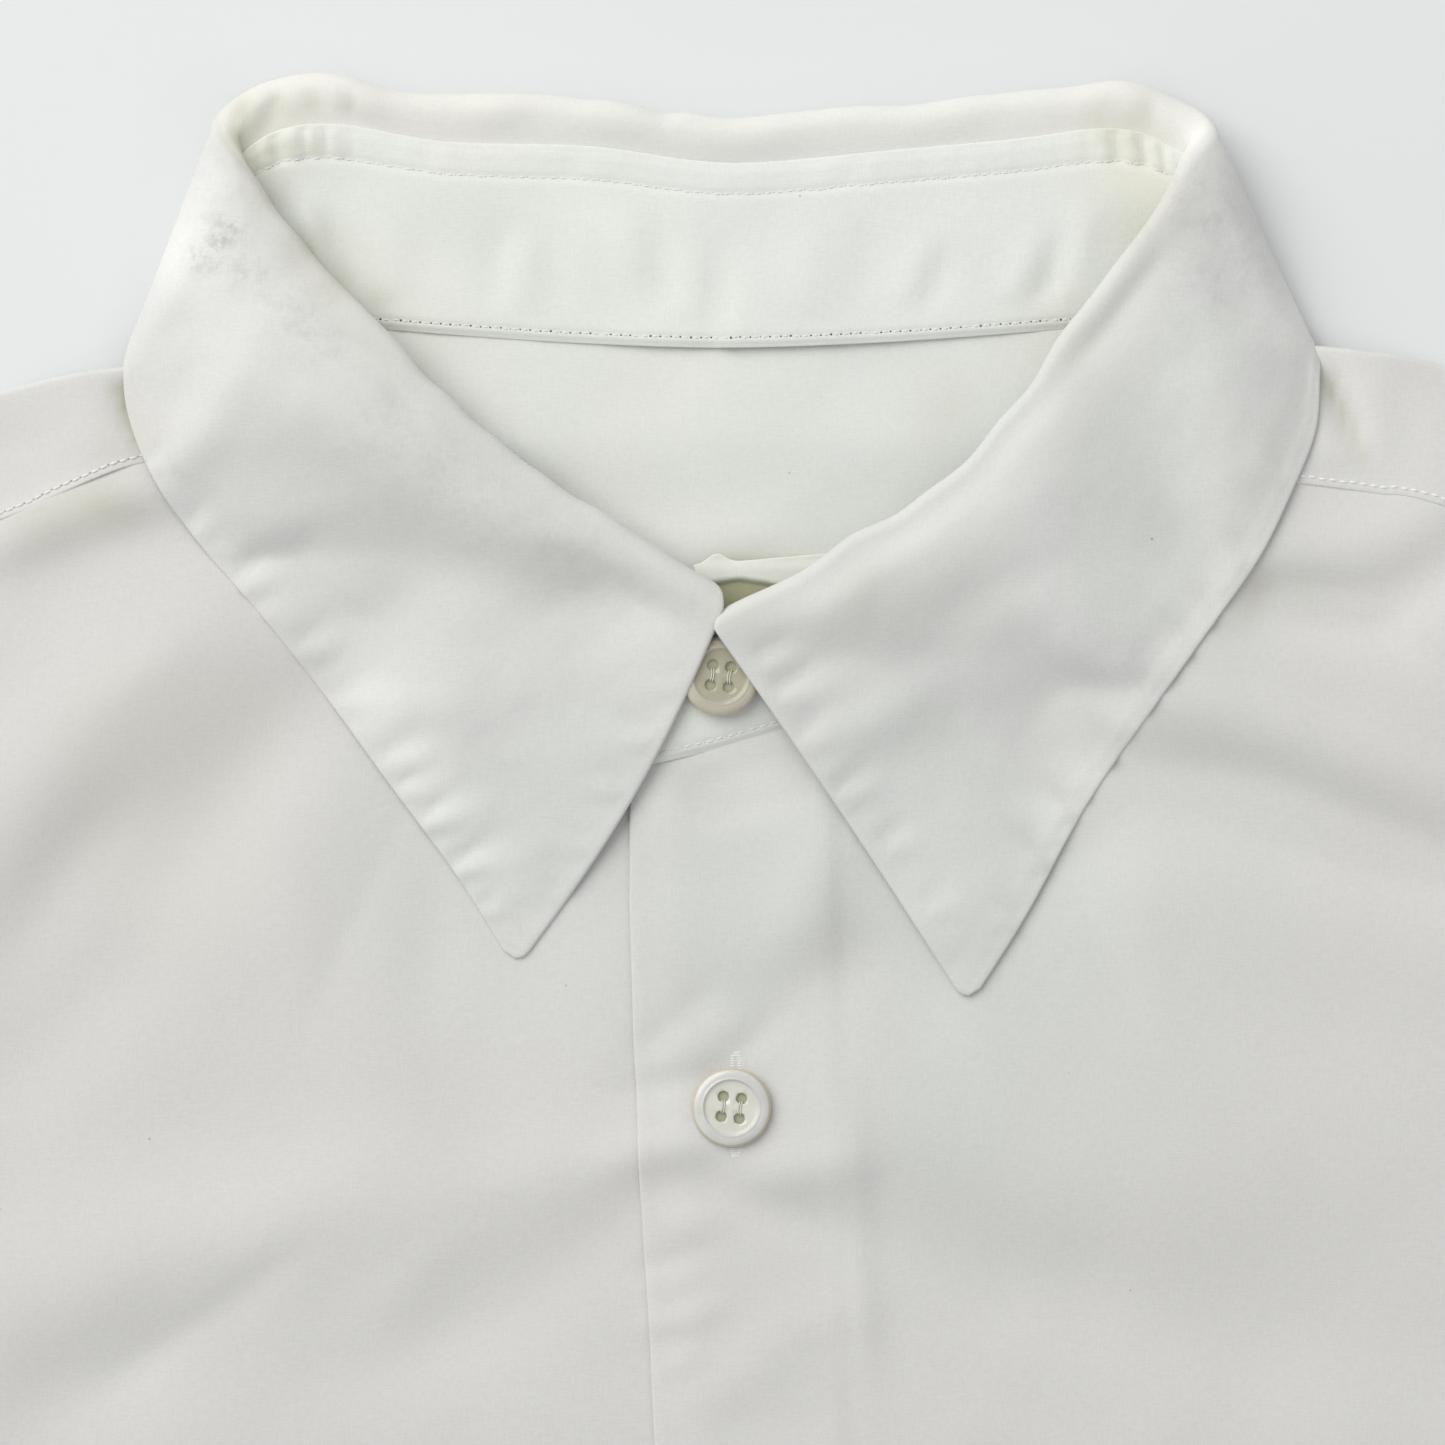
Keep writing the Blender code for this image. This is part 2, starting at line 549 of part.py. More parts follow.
def label_grid():
    w, h = LABEL_SIZE
    c, s = math.cos(math.radians(LABEL_TILT)), math.sin(math.radians(LABEL_TILT))
    grid = []
    for b in (-h / 2, h / 2):
        line = []
        for a in (-w / 2, 0.0, w / 2):
            x, y = LABEL_CENTRE[0] + a * c - b * s, LABEL_CENTRE[1] + a * s + b * c
            line.append((x, y, CLOTH + GAP + 0.5))
        grid.append(line)
    return np.array(grid)


def button_mesh(name, diameter, thickness):
    """A turned disc with a raised rim, a shallow dish and four holes."""
    r, t = diameter / 2, thickness
    profile = ((0.0, 0.0), (r * 0.82, 0.0), (r, t * 0.5), (r * 0.9, t), (r * 0.76, t * 0.92),
               (r * 0.66, t * 0.66), (0.0, t * 0.62))
    points, faces = [], []
    rings = []
    for radius, z in profile:
        if radius == 0:
            rings.append([len(points)])
            points.append((0.0, 0.0, z * MM))
            continue
        ring = []
        for k in range(BUTTON_SIDES):
            angle = math.tau * k / BUTTON_SIDES
            ring.append(len(points))
            points.append((radius * math.cos(angle) * MM, radius * math.sin(angle) * MM, z * MM))
        rings.append(ring)
    for first, second in zip(rings, rings[1:]):
        for k in range(BUTTON_SIDES):
            m = (k + 1) % BUTTON_SIDES
            if len(first) == 1:
                faces.append((first[0], second[m], second[k]))
            elif len(second) == 1:
                faces.append((first[k], first[m], second[0]))
            else:
                faces.append((first[k], first[m], second[m], second[k]))
    mesh = bpy.data.meshes.new(name)
    mesh.from_pydata(points, [], faces)
    mesh.shade_smooth()
    mesh.set_sharp_from_angle(angle=math.radians(40))
    return mesh


def hole_cutter(scale):
    points, faces = [], []
    for sx in (-1, 1):
        for sy in (-1, 1):
            start = len(points)
            for z in (-1.0, 4.0):
                for k in range(6):
                    angle = math.tau * (k + 0.5) / 6
                    x = (sx * HOLE_PITCH[0] / 2 + HOLE_D / 2 * math.cos(angle)) * scale
                    y = (sy * HOLE_PITCH[1] / 2 + HOLE_D / 2 * math.sin(angle)) * scale
                    points.append((x * MM, y * MM, z * MM))
            for k in range(6):
                m = (k + 1) % 6
                faces.append((start + k, start + m, start + 6 + m, start + 6 + k))
            faces.append(tuple(start + k for k in range(5, -1, -1)))
            faces.append(tuple(start + 6 + k for k in range(6)))
    mesh = bpy.data.meshes.new("button_holes")
    mesh.from_pydata(points, [], faces)
    return mesh


def button(name, mesh, cutter_mesh, x, y, z, turn, look):
    piece = bpy.data.objects.new(name, mesh)
    bpy.context.scene.collection.objects.link(piece)
    place = (x * MM, (y - CENTRE_Y) * MM, z * MM)
    piece.location = place
    piece.rotation_euler.z = math.radians(turn)
    cutter = bpy.data.objects.new(name + "_holes", cutter_mesh)
    bpy.context.scene.collection.objects.link(cutter)
    cutter.parent = piece
    cutter.hide_render = True
    cutter.display_type = "WIRE"
    cut = piece.modifiers.new("four_holes", "BOOLEAN")
    cut.operation = "DIFFERENCE"
    cut.object = cutter
    piece.material_slots[0].link = "OBJECT"
    piece.material_slots[0].material = look
    return piece


for leftover in list(bpy.data.objects):
    bpy.data.objects.remove(leftover, do_unlink=True)

wall("back_panel", back_grid(), CLOTH)
yoke, kept = yoke_grid()
wall("back_yoke", yoke, CLOTH, keep=kept)
wall("front_right", front_grid(-1), CLOTH)
wall("front_left", front_grid(1), CLOTH)
wall("collar_stand", stand_grid(), COLLAR_CLOTH)
wall("collar_leaf", leaf_grid(), COLLAR_CLOTH)
wall("neck_label", label_grid(), LABEL_CLOTH, colour=(0.82, 0.81, 0.76))

SLEEVES = {-1: sleeve_grid(-1), 1: sleeve_grid(1)}
for side_name, sign in (("right", -1), ("left", 1)):
    wall("sleeve_" + side_name, SLEEVES[sign], CLOTH, closed=True)
    wall("cuff_" + side_name, cuff_grid(sign), CUFF_CLOTH)
    wall("sleeve_placket_" + side_name, placket_grid(sign), CLOTH)

big = button_mesh("shirt_button", BUTTON_D, BUTTON_T)
small = button_mesh("small_button", SMALL_BUTTON_D, BUTTON_T)
for made in (big, small):
    made.materials.append(material(made.name, PEARL, 0.25))
big_holes = hole_cutter(1.0)
small_holes = hole_cutter(0.82)
look = material("button_pearl", PEARL, 0.25)
button("neck_button", big, big_holes, *NECK_BUTTON, 6.95, -7.0, look)
for number, y in enumerate(FRONT_BUTTONS_Y, 1):
    z = float(front_over_height(1.5, y)) + CLOTH / 2 + GAP
    button("front_button_%d" % number, big, big_holes, 1.5 if number == 1 else 2.0, y, z, -6.6, look)
for side_name, sign in (("right", -1), ("left", 1)):
    inner, across, down = cuff_frame(sign)
    x, y = inner + across * 26.0 + down * 32.0
    z = 4.6 + CUFF_CLOTH / 2 + GAP
    button("cuff_button_" + side_name, small, small_holes, x, y, z, 30.0 * sign, look)
    x, y = placket_point(78.0, PLACKET_INSET + PLACKET_WIDTH / 2, sign)
    z = sleeve_top((x, y), sign) + LAYER + 0.1 + CLOTH / 2 + GAP + 0.1
    button("placket_button_" + side_name, small, small_holes, x, y, z, 20.0 * sign, look)
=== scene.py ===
"""Looks of a white long-sleeved shirt laid on its back: cloth, stitches, buttons, light and camera."""

import math

import bpy
import numpy as np
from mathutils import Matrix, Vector


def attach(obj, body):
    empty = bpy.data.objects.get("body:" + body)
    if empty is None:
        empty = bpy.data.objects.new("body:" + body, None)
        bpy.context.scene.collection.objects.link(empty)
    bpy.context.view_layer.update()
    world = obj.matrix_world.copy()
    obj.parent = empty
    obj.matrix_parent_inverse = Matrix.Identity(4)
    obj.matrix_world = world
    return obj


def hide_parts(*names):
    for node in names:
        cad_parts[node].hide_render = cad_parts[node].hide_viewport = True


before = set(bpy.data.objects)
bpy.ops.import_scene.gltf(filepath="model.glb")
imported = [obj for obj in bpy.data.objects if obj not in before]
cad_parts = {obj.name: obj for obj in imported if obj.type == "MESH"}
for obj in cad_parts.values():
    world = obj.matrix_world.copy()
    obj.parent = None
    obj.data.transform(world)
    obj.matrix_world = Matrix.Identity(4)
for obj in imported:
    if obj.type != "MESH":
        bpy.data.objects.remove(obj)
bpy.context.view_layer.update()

# Millimetres. X runs across the shirt, Y up to the collar, Z up from the table.
MM = 0.001
CENTRE_Y = -285.0  # the middle of the laid shirt, measured from the front corner of the collar
PIXEL = 0.17  # one pixel of the picture, whose middle is at x 0 and y 0
MIDDLE = 722.5
CLOTH = 1.2  # wall of the solids, which sets the height of each layer
LAYER = 1.5  # from the middle of one layer to the middle of the next
GAP = 0.3  # between pieces that meet at a seam
SHIRT_T = 0.5  # thicknesses of the cloth shown
BAND_T = 0.9
LEAF_T = 1.0
STAND_T = 0.8
CUFF_T = 1.0
LABEL_T = 0.35
LEAF_UNDER = 0.7  # height of the part of the leaf that lies under the yoke
WING_ARCH = 1.6  # how far each wing bulges up between its fold and its edge
STRIP_DROP = 0.8  # how far the leaf's start lies below the stand's top edge
SHOULDER_X = 222.0
YOKE_BACK_Y = -28.0
UNDERARM = (256.0, -200.0)
HEM_SIDE = (268.0, -610.0)
HEM_FRONT_Y = -668.0
HEM_BACK_Y = -680.0
OVERLAP_EDGE = -15.4
UNDERLAP_EDGE = 19.0
FACING_X = 18.6  # inner edge of the button band's fold
BUTTON_D = 13.5
BUTTON_T = 2.4
SMALL_BUTTON_D = 11.0
HOLE_D = 1.9
HOLE_PITCH = (3.1, 3.4)
NECK_BUTTON = (-0.3, 7.9)
FRONT_BUTTONS_Y = (-65.3, -151.0, -237.0, -323.0, -409.0, -495.0)
CUFF_LENGTH = 65.0
CUFF_WIDTH = 116.0
PLACKET_LENGTH = 150.0
PLACKET_WIDTH = 25.0
PLACKET_INSET = 15.0
LABEL_SIZE = (40.0, 18.0)
LABEL_CENTRE = (16.0, 19.5)
LABEL_TILT = 5.0
RISE_FRONT = 4.0  # from the stand's top edge out to the leaf's fold, in front and behind
RISE_BACK = 8.0
FRONT_BOW = (2.6, -0.6)  # how far each wing's front edge bows out, left and right
LEAF_START = 1.7  # how far in from the stand's top edge the leaf starts
LEAF_WIDTH = 55.0  # from the collar's fold to its outer edge
STAND_WIDTH = 31.0  # from the stand's lower edge to its top edge
STAND_SEAM = 1.4  # line of stitches at the neck, from the stand's lower edge
STAND_FOLD_SEAM = 25.9  # line of stitches below the leaf, from the same edge
END_STEPS = 24  # steps along each buttoned end of the stand
NECK_END = 82.0  # where the yoke's front seams meet the collar, to either side
HEM_SEAM_Y = -660.5  # where the fronts' hems begin, at the middle
HEM_STITCHES = 6.5  # from the hem's edge
FRONT_ROWS = (112, 92)  # steps down a front, above and below the underarm
ARM_STITCHES = 4.0  # from the armhole's edge
SLEEVE_LENGTH = 560.0
SLEEVE_WIDTH = 230.0  # at its top; at its end it is as wide as the cuff
CUFF_LAYERS = (0.55, 2.2, 3.9)  # heights of the lower layer, the under end and the over end
CUFF_SEAMS = (5.6, 59.4)  # two lines of stitches, from the cuff's seam
DISH = 0.79  # height of a button's dish, as a share of its thickness
SMALL = 0.82  # holes and threads of a small button against a large one's
SIDES = (("right", -1), ("left", 1))
UP = np.array([0.0, 0.0, 1.0])

# Sections across the collar, from the left front corner round the back to the right one:
# neck seam (x, y), crest (x, y), outer edge (x, y), turn of the fall in degrees (90 over the front,
# 0 sideways, -90 under the back), height of the stand's top edge, radius of the roll
COLLAR = (
    (-10, -6, 0.75, 21.6, -35.3, -41.5, 90, 4, 3.1),
    (-26, -2.5, -12.2, 30, -45, -26, 90, 4.8, 2.75),
    (-41, 5, -22.5, 36.3, -56, -11, 90, 6, 2.1),
    (-57, 17, -34.5, 44.6, -66.5, 3.4, 90, 7.2, 1.6),
    (-72, 30, -46.5, 54.8, -77.5, 17.5, 90, 8, 1.5),
    (-82, 43, -58.5, 67, -87.5, 29, 90, 8.6, 1.5),
    (-86, 51, -68, 77, -95.2, 39.5, 90, 8.9, 1.6),
    (-86.5, 58, -75.5, 86.5, -99.8, 49, 84, 9.8, 1.5),
    (-85.5, 63.5, -80.3, 94.5, -101.6, 57.5, 60, 10.4, 1.6),
    (-81.5, 67, -82.2, 101.5, -100.6, 64.5, 0, 8.8, 2.2),
    (-75.5, 68.3, -77.3, 107.6, -94.5, 62.5, -60, 7.6, 2.8),
    (-66, 68, -66, 109.4, -84, 59, -86, 7.3, 3.3),
    (-47, 66.5, -47, 106.4, -58, 57.5, -90, 7, 3.15),
    (-24, 65, -22, 105.6, -27, 56.5, -90, 6.9, 3.1),
    (0, 64.2, 1.5, 102.8, 2, 56, -90, 6.8, 3.05),
    (25, 65, 28, 104.8, 33, 56.5, -90, 6.9, 3.1),
    (47, 66.5, 50, 106.8, 60, 57.5, -90, 7, 3.15),
    (66, 68, 66, 108.7, 84, 59, -86, 7.3, 3.3),
    (75.5, 68.3, 74.8, 106.2, 94.5, 62.5, -60, 7.6, 2.8),
    (81.5, 67, 79.4, 101, 100.8, 63.5, 0, 8.8, 2.2),
    (85.5, 63.5, 76.9, 93.9, 101.3, 57.5, 60, 10.4, 1.6),
    (86.5, 58, 72.7, 85.4, 100.6, 49.5, 84, 9.8, 1.5),
    (86, 51, 66.5, 76.8, 96.9, 40, 90, 8.9, 1.6),
    (82, 43, 58.5, 66, 91, 28, 90, 8.6, 1.5),
    (72, 29.5, 49.5, 53.5, 82, 15.2, 90, 8, 1.5),
    (56, 16, 37.8, 40.8, 72, 1.2, 90, 7.4, 1.6),
    (36.5, 6.5, 25, 32.6, 61.5, -14.5, 90, 6.8, 1.8),
    (14.5, 0.3, 12, 24.6, 51.5, -32.5, 90, 6.4, 2),
    (-1, -4.2, -1.1, 17.9, 41.8, -47.8, 90, 6.6, 2.05),
)
LAST = len(COLLAR) - 1
# The stand's two buttoned ends: neck seam (x, y), top edge (x, y), height of each
STAND_UNDER_END = (
    (15, 1.6, 15.4, 12.5, 2.8, 2.9),
    (5, -2.4, 6.5, 16.4, 2.8, 3.1),
)
STAND_OVER_END = (
    (-8, -5.9, -8.6, 12.6, 4.8, 5.4),
    (-14.4, -7.2, -14, 6, 4.8, 5),
)
# Fold along each shoulder and seam of the yoke on each front: (x, y) going out from the neck
SHOULDER_LEFT = (
    (83, 64.6), (101, 60.6), (110, 59.4), (123, 56.3), (170, 43.5), (222, 27.5),
)
SHOULDER_RIGHT = (
    (83, 65.4), (101, 64), (110, 63), (123, 60.6), (170, 46.8), (222, 28.5),
)
YOKE_LEFT = (
    (82, 43), (90, 44.6), (100, 45), (114, 39.5), (123, 35.5), (170, 18), (221, 2),
)
YOKE_RIGHT = (
    (82, 43), (90, 42.6), (100, 41.6), (112, 40), (123, 38), (170, 22.5), (221, 4),
)
ARMHOLE = (
    (222, 28), (219.5, 4), (216.5, -28), (216, -62), (219, -98), (227, -134), (240, -168), (256, -200),
)
SLEEVE_OUTER = (
    (222.6, 28), (250.8, 17.7), (287.5, -1.1), (327.9, -33.7), (369.6, -77.1), (416.2, -135.9),
    (468, -210), (518.9, -284.7), (564.2, -351.1), (595.4, -396.1),
)
SLEEVE_INNER = (
    (256.6, -200), (295.7, -243.5), (347, -298.4), (401.9, -356.8), (456.4, -415.5), (506.6, -470.6),
)
SLEEVE_MIDDLE = 470.0

# Folds of the chest: half-width and height (minus for a hollow), then places in the picture.
# The numbers here and in WING_FOLDS weren't chosen by hand: curves drawn by eye were the start, and a
# scratch script moved their points and set their widths and heights to match the picture's light and shade.
CHEST_FOLDS = (
    (12, 2.92, ((-130, 982), (81, 725), (179, 667), (253, 559))),
    (12.5, -1.21, ((-28, 944), (80, 878), (251, 762), (428, 594))),
    (6.2, -0.64, ((-10, 1028), (60, 867), (176, 762))),
    (10, -1.44, ((134, 948), (250, 772), (396, 616))),
    (6.4, -0.84, ((393, 830), (435, 904), (419, 1058))),
    (12.5, 1.33, ((-172, 1352), (86, 1252), (348, 1207), (472, 1026))),
    (9.8, 1, ((-156, 1386), (74, 1311), (172, 1267), (542, 1133))),
    (3.2, -0.45, ((68, 1406), (204, 1320), (346, 1218))),
    (7.8, 1.27, ((356, 1346), (436, 1229), (509, 1190), (724, 1134))),
    (7.5, -0.76, ((232, 1415), (510, 1306), (704, 1156))),
    (3.8, -0.23, ((348, 1310), (450, 1215), (568, 1212))),
    (5, 2.26, ((-82, 576), (93, 509), (234, 474))),
    (9, -0.92, ((-72, 1152), (84, 1008), (210, 902))),
    (10, -1.57, ((-40, 1472), (160, 1348), (252, 1338))),
    (12.5, -1.26, ((516, 886), (490, 1000), (468, 1146))),
    (9.4, 0.4, ((620, 834), (615, 1000), (620, 1152))),
    (4, 0.39, ((86, 720), (150, 666), (200, 626))),
    (6.2, -2.81, ((1185, 598), (1349, 607), (1406, 594), (1546, 503))),
    (4, -1.39, ((1212, 586), (1340, 607), (1416, 654), (1460, 674))),
    (6, 0.98, ((1018, 658), (1246, 720), (1350, 752), (1546, 820))),
    (7.5, -2.5, ((962, 754), (1222, 778), (1324, 821), (1626, 916))),
    (10, -2.33, ((912, 857), (1186, 818), (1350, 854), (1599, 948))),
    (12.2, 1.56, ((690, 1110), (944, 1144), (1092, 1193), (1254, 1241))),
    (12.2, -1.82, ((792, 1156), (976, 1288), (1114, 1304), (1439, 1427))),
    (12.2, 0.98, ((1012, 918), (1240, 1098), (1444, 1232))),
    (7.2, -1.96, ((838, 919), (932, 1014), (944, 1052))),
    (6.4, 0.89, ((916, 1412), (1092, 1480), (1158, 1450))),
    (10, -0.39, ((1130, 1040), (1250, 1018), (1456, 1008))),
    (9.8, -0.82, ((1180, 660), (1316, 660), (1430, 730))),
    (11.2, -1.41, ((1222, 1236), (1396, 1336), (1460, 1432))),
    (3.1, 0.77, ((844, 1038), (854, 1216), (870, 1434))),
    (3, 0.13, ((1300, 1150), (1380, 1210), (1440, 1260))),
    (6.2, -0.79, ((624, 957), (750, 1003), (888, 928))),
    (3, -0.77, ((587, 1095), (710, 1071), (802, 992))),
    (7.8, -0.77, ((704, 1138), (836, 989), (877, 908))),
    (3.8, 1.02, ((580, 1169), (690, 1144), (748, 1145))),
    (4.7, 1.17, ((720, 1188), (748, 1176), (890, 1159))),
    (4.8, -0.87, ((637, 1154), (758, 1206), (910, 1253))),
    (3.5, 0.55, ((636, 1220), (706, 1221), (734, 1211))),
    (2.2, -0.42, ((618, 1278), (706, 1248), (715, 1238))),
    (1.8, -0.14, ((652, 1316), (706, 1285), (715, 1272))),
    (2.2, 0.49, ((625, 1324), (684, 1320), (730, 1300))),
    (2.2, 0.47, ((658, 1378), (684, 1360), (698, 1346))),
    (5, 0.57, ((629, 1442), (746, 1375), (800, 1325), (940, 1293))),
    (5, -0.33, ((684, 1402), (796, 1426), (876, 1370))),
    (4.8, -1.47, ((666, 812), (717, 796), (842, 770))),
    (6, 1.35, ((845, 810), (803, 920), (846, 950))),
    (3, -0.58, ((618, 1070), (700, 1000), (702, 974))),
    (5.9, -0.26, ((594, 900), (700, 866), (750, 900))),
)
SHOULDER_FOLDS = (
    (5.5, 0.7, ((1344, 360), (1356, 400), (1368, 446))),
    (1.9, -1.5, ((1322, 356), (1334, 392), (1348, 424), (1358, 462))),
    (2.2, 0.5, ((1326, 432), (1332, 450), (1340, 470))),
    (3, 0.5, ((1362, 372), (1380, 410), (1390, 455))),
    (1.6, -0.7, ((118, 372), (126, 405), (134, 440))),
    (4, 0.5, ((70, 400), (98, 430), (112, 480))),
    (5, -0.5, ((-60, 440), (0, 450), (60, 430))),
)
# Shaded pockets beside the collar on both shoulders, as in SOIL
POCKETS = (
    (1325, 379, 9, 0.38), (1332, 389, 9, 0.34), (1338, 399, 9, 0.32), (1343, 409, 9, 0.31),
    (1348, 419, 9, 0.3), (1352, 429, 9, 0.29), (1356, 439, 8, 0.28), (1359, 449, 8, 0.27),
    (1361, 459, 8, 0.24), (120, 388, 9, 0.6), (126, 405, 9, 0.66), (131, 422, 9, 0.6),
    (135, 438, 8, 0.42), (139, 455, 8, 0.26),
)
# Folds of the body and shoulders that the picture doesn't show: half-width, height, then (x, y)
BODY_FOLDS = (
    (15, 3.6, ((-205, -100), (-182, -60), (-160, -20), (-142, 10))),
    (9, -1.6, ((-190, -110), (-165, -72), (-140, -42))),
    (15, 3.8, ((208, -112), (186, -74), (164, -30), (150, 4))),
    (9, -1.6, ((190, -120), (160, -82), (138, -50))),
    (16, 4.8, ((-244, -206), (-205, -182), (-160, -146), (-120, -128))),
    (10, 3, ((-246, -240), (-200, -216), (-150, -196))),
    (16, 4.6, ((246, -208), (205, -192), (160, -164), (110, -150))),
    (10, 2.8, ((246, -246), (200, -232), (150, -206))),
    (16, 3.6, ((-215, -242), (-140, -222), (-80, -204), (-34, -176))),
    (17, 4, ((226, -286), (150, -262), (90, -236), (44, -206))),
    (9, -1.2, ((-190, -276), (-120, -254), (-60, -244))),
    (18, 4.2, ((-240, -318), (-190, -326), (-120, -340), (-60, -330))),
    (10, 2, ((-236, -362), (-180, -370), (-120, -366))),
    (18, 3.8, ((236, -346), (180, -362), (110, -380), (50, -392))),
    (10, 1.8, ((238, -396), (180, -412), (120, -420))),
    (18, 3.8, ((-220, -472), (-150, -456), (-90, -430), (-44, -396))),
    (9, -1.2, ((-210, -506), (-140, -486), (-80, -470))),
    (18, 4.2, ((246, -442), (196, -466), (140, -492), (90, -500))),
    (17, 3.4, ((-198, -606), (-184, -566), (-172, -520), (-160, -490))),
    (15, 3.2, ((96, -640), (106, -596), (114, -548), (120, -520))),
    (12, 2.2, ((-90, -640), (-84, -600), (-70, -540))),
    (12, 2.4, ((190, -626), (196, -590), (186, -540))),
    (7, 1.2, ((24, -120), (60, -150), (90, -190))),
    (7, 1.1, ((24, -292), (50, -306), (80, -330))),
    (6, 1, ((-20, -232), (-50, -250), (-74, -280))),
    (6, 1, ((24, -462), (54, -470), (78, -452))),
    (6, 0.9, ((-20, -560), (-44, -548), (-66, -520))),
)
# Folds of a sleeve: half-width, height, then (distance down the sleeve, distance from its outer fold)
SLEEVE_FOLDS = (
    (16, 5.6, ((40, 96), (90, 112), (150, 150))),
    (9, 2.6, ((30, 140), (80, 152), (120, 182))),
    (15, 4.6, ((120, 84), (190, 60), (260, 44))),
    (13, 5.6, ((255, 52), (285, 84), (318, 128))),
    (8, 2.6, ((225, 60), (255, 96), (280, 140))),
    (13, 4.8, ((318, 90), (345, 62), (372, 28))),
    (8, -1.4, ((290, 66), (320, 74), (350, 98))),
    (12, 4.2, ((390, 92), (430, 98), (490, 104))),
    (11, 3.6, ((430, 40), (470, 34), (510, 34))),
    (6, 1.6, ((470, 70), (500, 66), (528, 62))),
    (5, 1.3, ((500, 92), (530, 88))),
    (5, 1.2, ((505, 20), (530, 22))),
    (7, 1.6, ((20, 40), (60, 46), (110, 44))),
    (6, 1.4, ((14, 190), (40, 176), (70, 168))),
)
# Soft troughs and ridges of the collar's two wings, as in CHEST_FOLDS and fitted like them
WING_FOLDS = (
    (7.5, 2.02, ((150, 334), (356, 426), (450, 490), (562, 543), (674, 519))),
    (6, -1.54, ((186, 465), (213, 578), (387, 541), (441, 560), (767, 627))),
    (7.5, 1.08, ((78, 482), (304, 428), (400, 452), (464, 404))),
    (9.4, -2.06, ((126, 614), (302, 633), (356, 587), (533, 626), (770, 554))),
    (4, 0.72, ((316, 774), (412, 704), (502, 740))),
    (5, 0.72, ((544, 744), (632, 762), (628, 716))),
    (2.6, -0.49, ((408, 880), (516, 844), (528, 840))),
    (11.7, 2.04, ((232, 274), (240, 436), (108, 609))),
    (7.5, 1.18, ((352, 628), (431, 816), (544, 874))),
    (9.8, -1.07, ((614, 522), (606, 628), (572, 770))),
    (3.8, 0.66, ((234, 630), (300, 590), (310, 578))),
    (3, -0.1, ((314, 722), (370, 667), (396, 670))),
    (3.2, -1.07, ((303, 322), (400, 376), (410, 440))),
    (4, -1.56, ((468, 920), (519, 942), (576, 899))),
    (3.2, -1.01, ((209, 579), (286, 559), (331, 516))),
    (9.4, 2.22, ((636, 600), (874, 584), (990, 537), (1050, 445), (1084, 332))),
    (6.2, -1.57, ((668, 610), (893, 676), (946, 659), (984, 600), (1006, 540))),
    (5, 1.09, ((755, 817), (936, 674), (990, 618), (1066, 623), (1243, 712))),
    (7.8, -1.52, ((772, 832), (898, 750), (1032, 716), (1158, 712), (1254, 828))),
    (4.8, -1.17, ((1178, 192), (1227, 252), (1240, 336))),
    (9.4, 1.18, ((1186, 304), (1227, 406), (1222, 565))),
    (9.4, 1.15, ((1177, 321), (1250, 482), (1210, 558))),
    (6.2, -0.83, ((832, 882), (976, 784), (1185, 792))),
    (6.2, 1.24, ((884, 940), (983, 920), (1074, 830))),
    (6.3, -2.3, ((1126, 220), (1126, 265), (1006, 395))),
    (3, 0.27, ((796, 690), (830, 680), (908, 676))),
    (3.8, -1.2, ((1170, 786), (1072, 754), (1006, 750))),
    (9.8, 1.58, ((1060, 654), (1104, 527), (1146, 420))),
    (4, 0.2, ((1262, 574), (1150, 586), (1068, 580))),
    (2.6, 1.15, ((1040, 622), (1100, 665), (1202, 681))),
)
# Puckers along the wings' stitched edges: place in the picture, direction inwards in degrees,
# length, strength
WING_PUCKERS = (
    (201, 532, 40, 9, 1.2), (240, 592, 28, 17, 2), (262, 622, 28, 6, 0.8), (303, 656, 24, 16, 1.8),
    (341, 708, 20, 12, 1.4), (386, 770, 20, 16, 1.9), (408, 794, 20, 6, 0.8), (429, 826, 18, 14, 1.6),
    (462, 872, 18, 13, 1.6), (490, 915, 20, 6, 0.8), (644, 742, 168, 10, 1.7), (616, 792, 165, 9, 1.5),
    (578, 850, 160, 9, 1.2), (550, 900, 160, 6, 0.8), (672, 690, 170, 8, 1), (160, 470, 30, 8, 0.8),
    (1238, 562, 140, 9, 1.2), (1210, 620, 150, 14, 1.7), (1188, 654, 150, 8, 1.2),
    (1152, 706, 148, 16, 2.3), (1116, 764, 152, 14, 1.9), (1090, 795, 152, 6, 0.8),
    (1069, 816, 155, 9, 1.5), (1042, 866, 158, 9, 1.5), (1012, 925, 155, 6, 0.8),
    (765, 668, 22, 11, 1.7), (784, 702, 20, 12, 1.9), (806, 746, 24, 10, 1.5), (846, 800, 26, 11, 1.9),
    (890, 852, 24, 9, 1.5), (934, 915, 28, 8, 1), (1275, 478, 140, 8, 0.8),
)
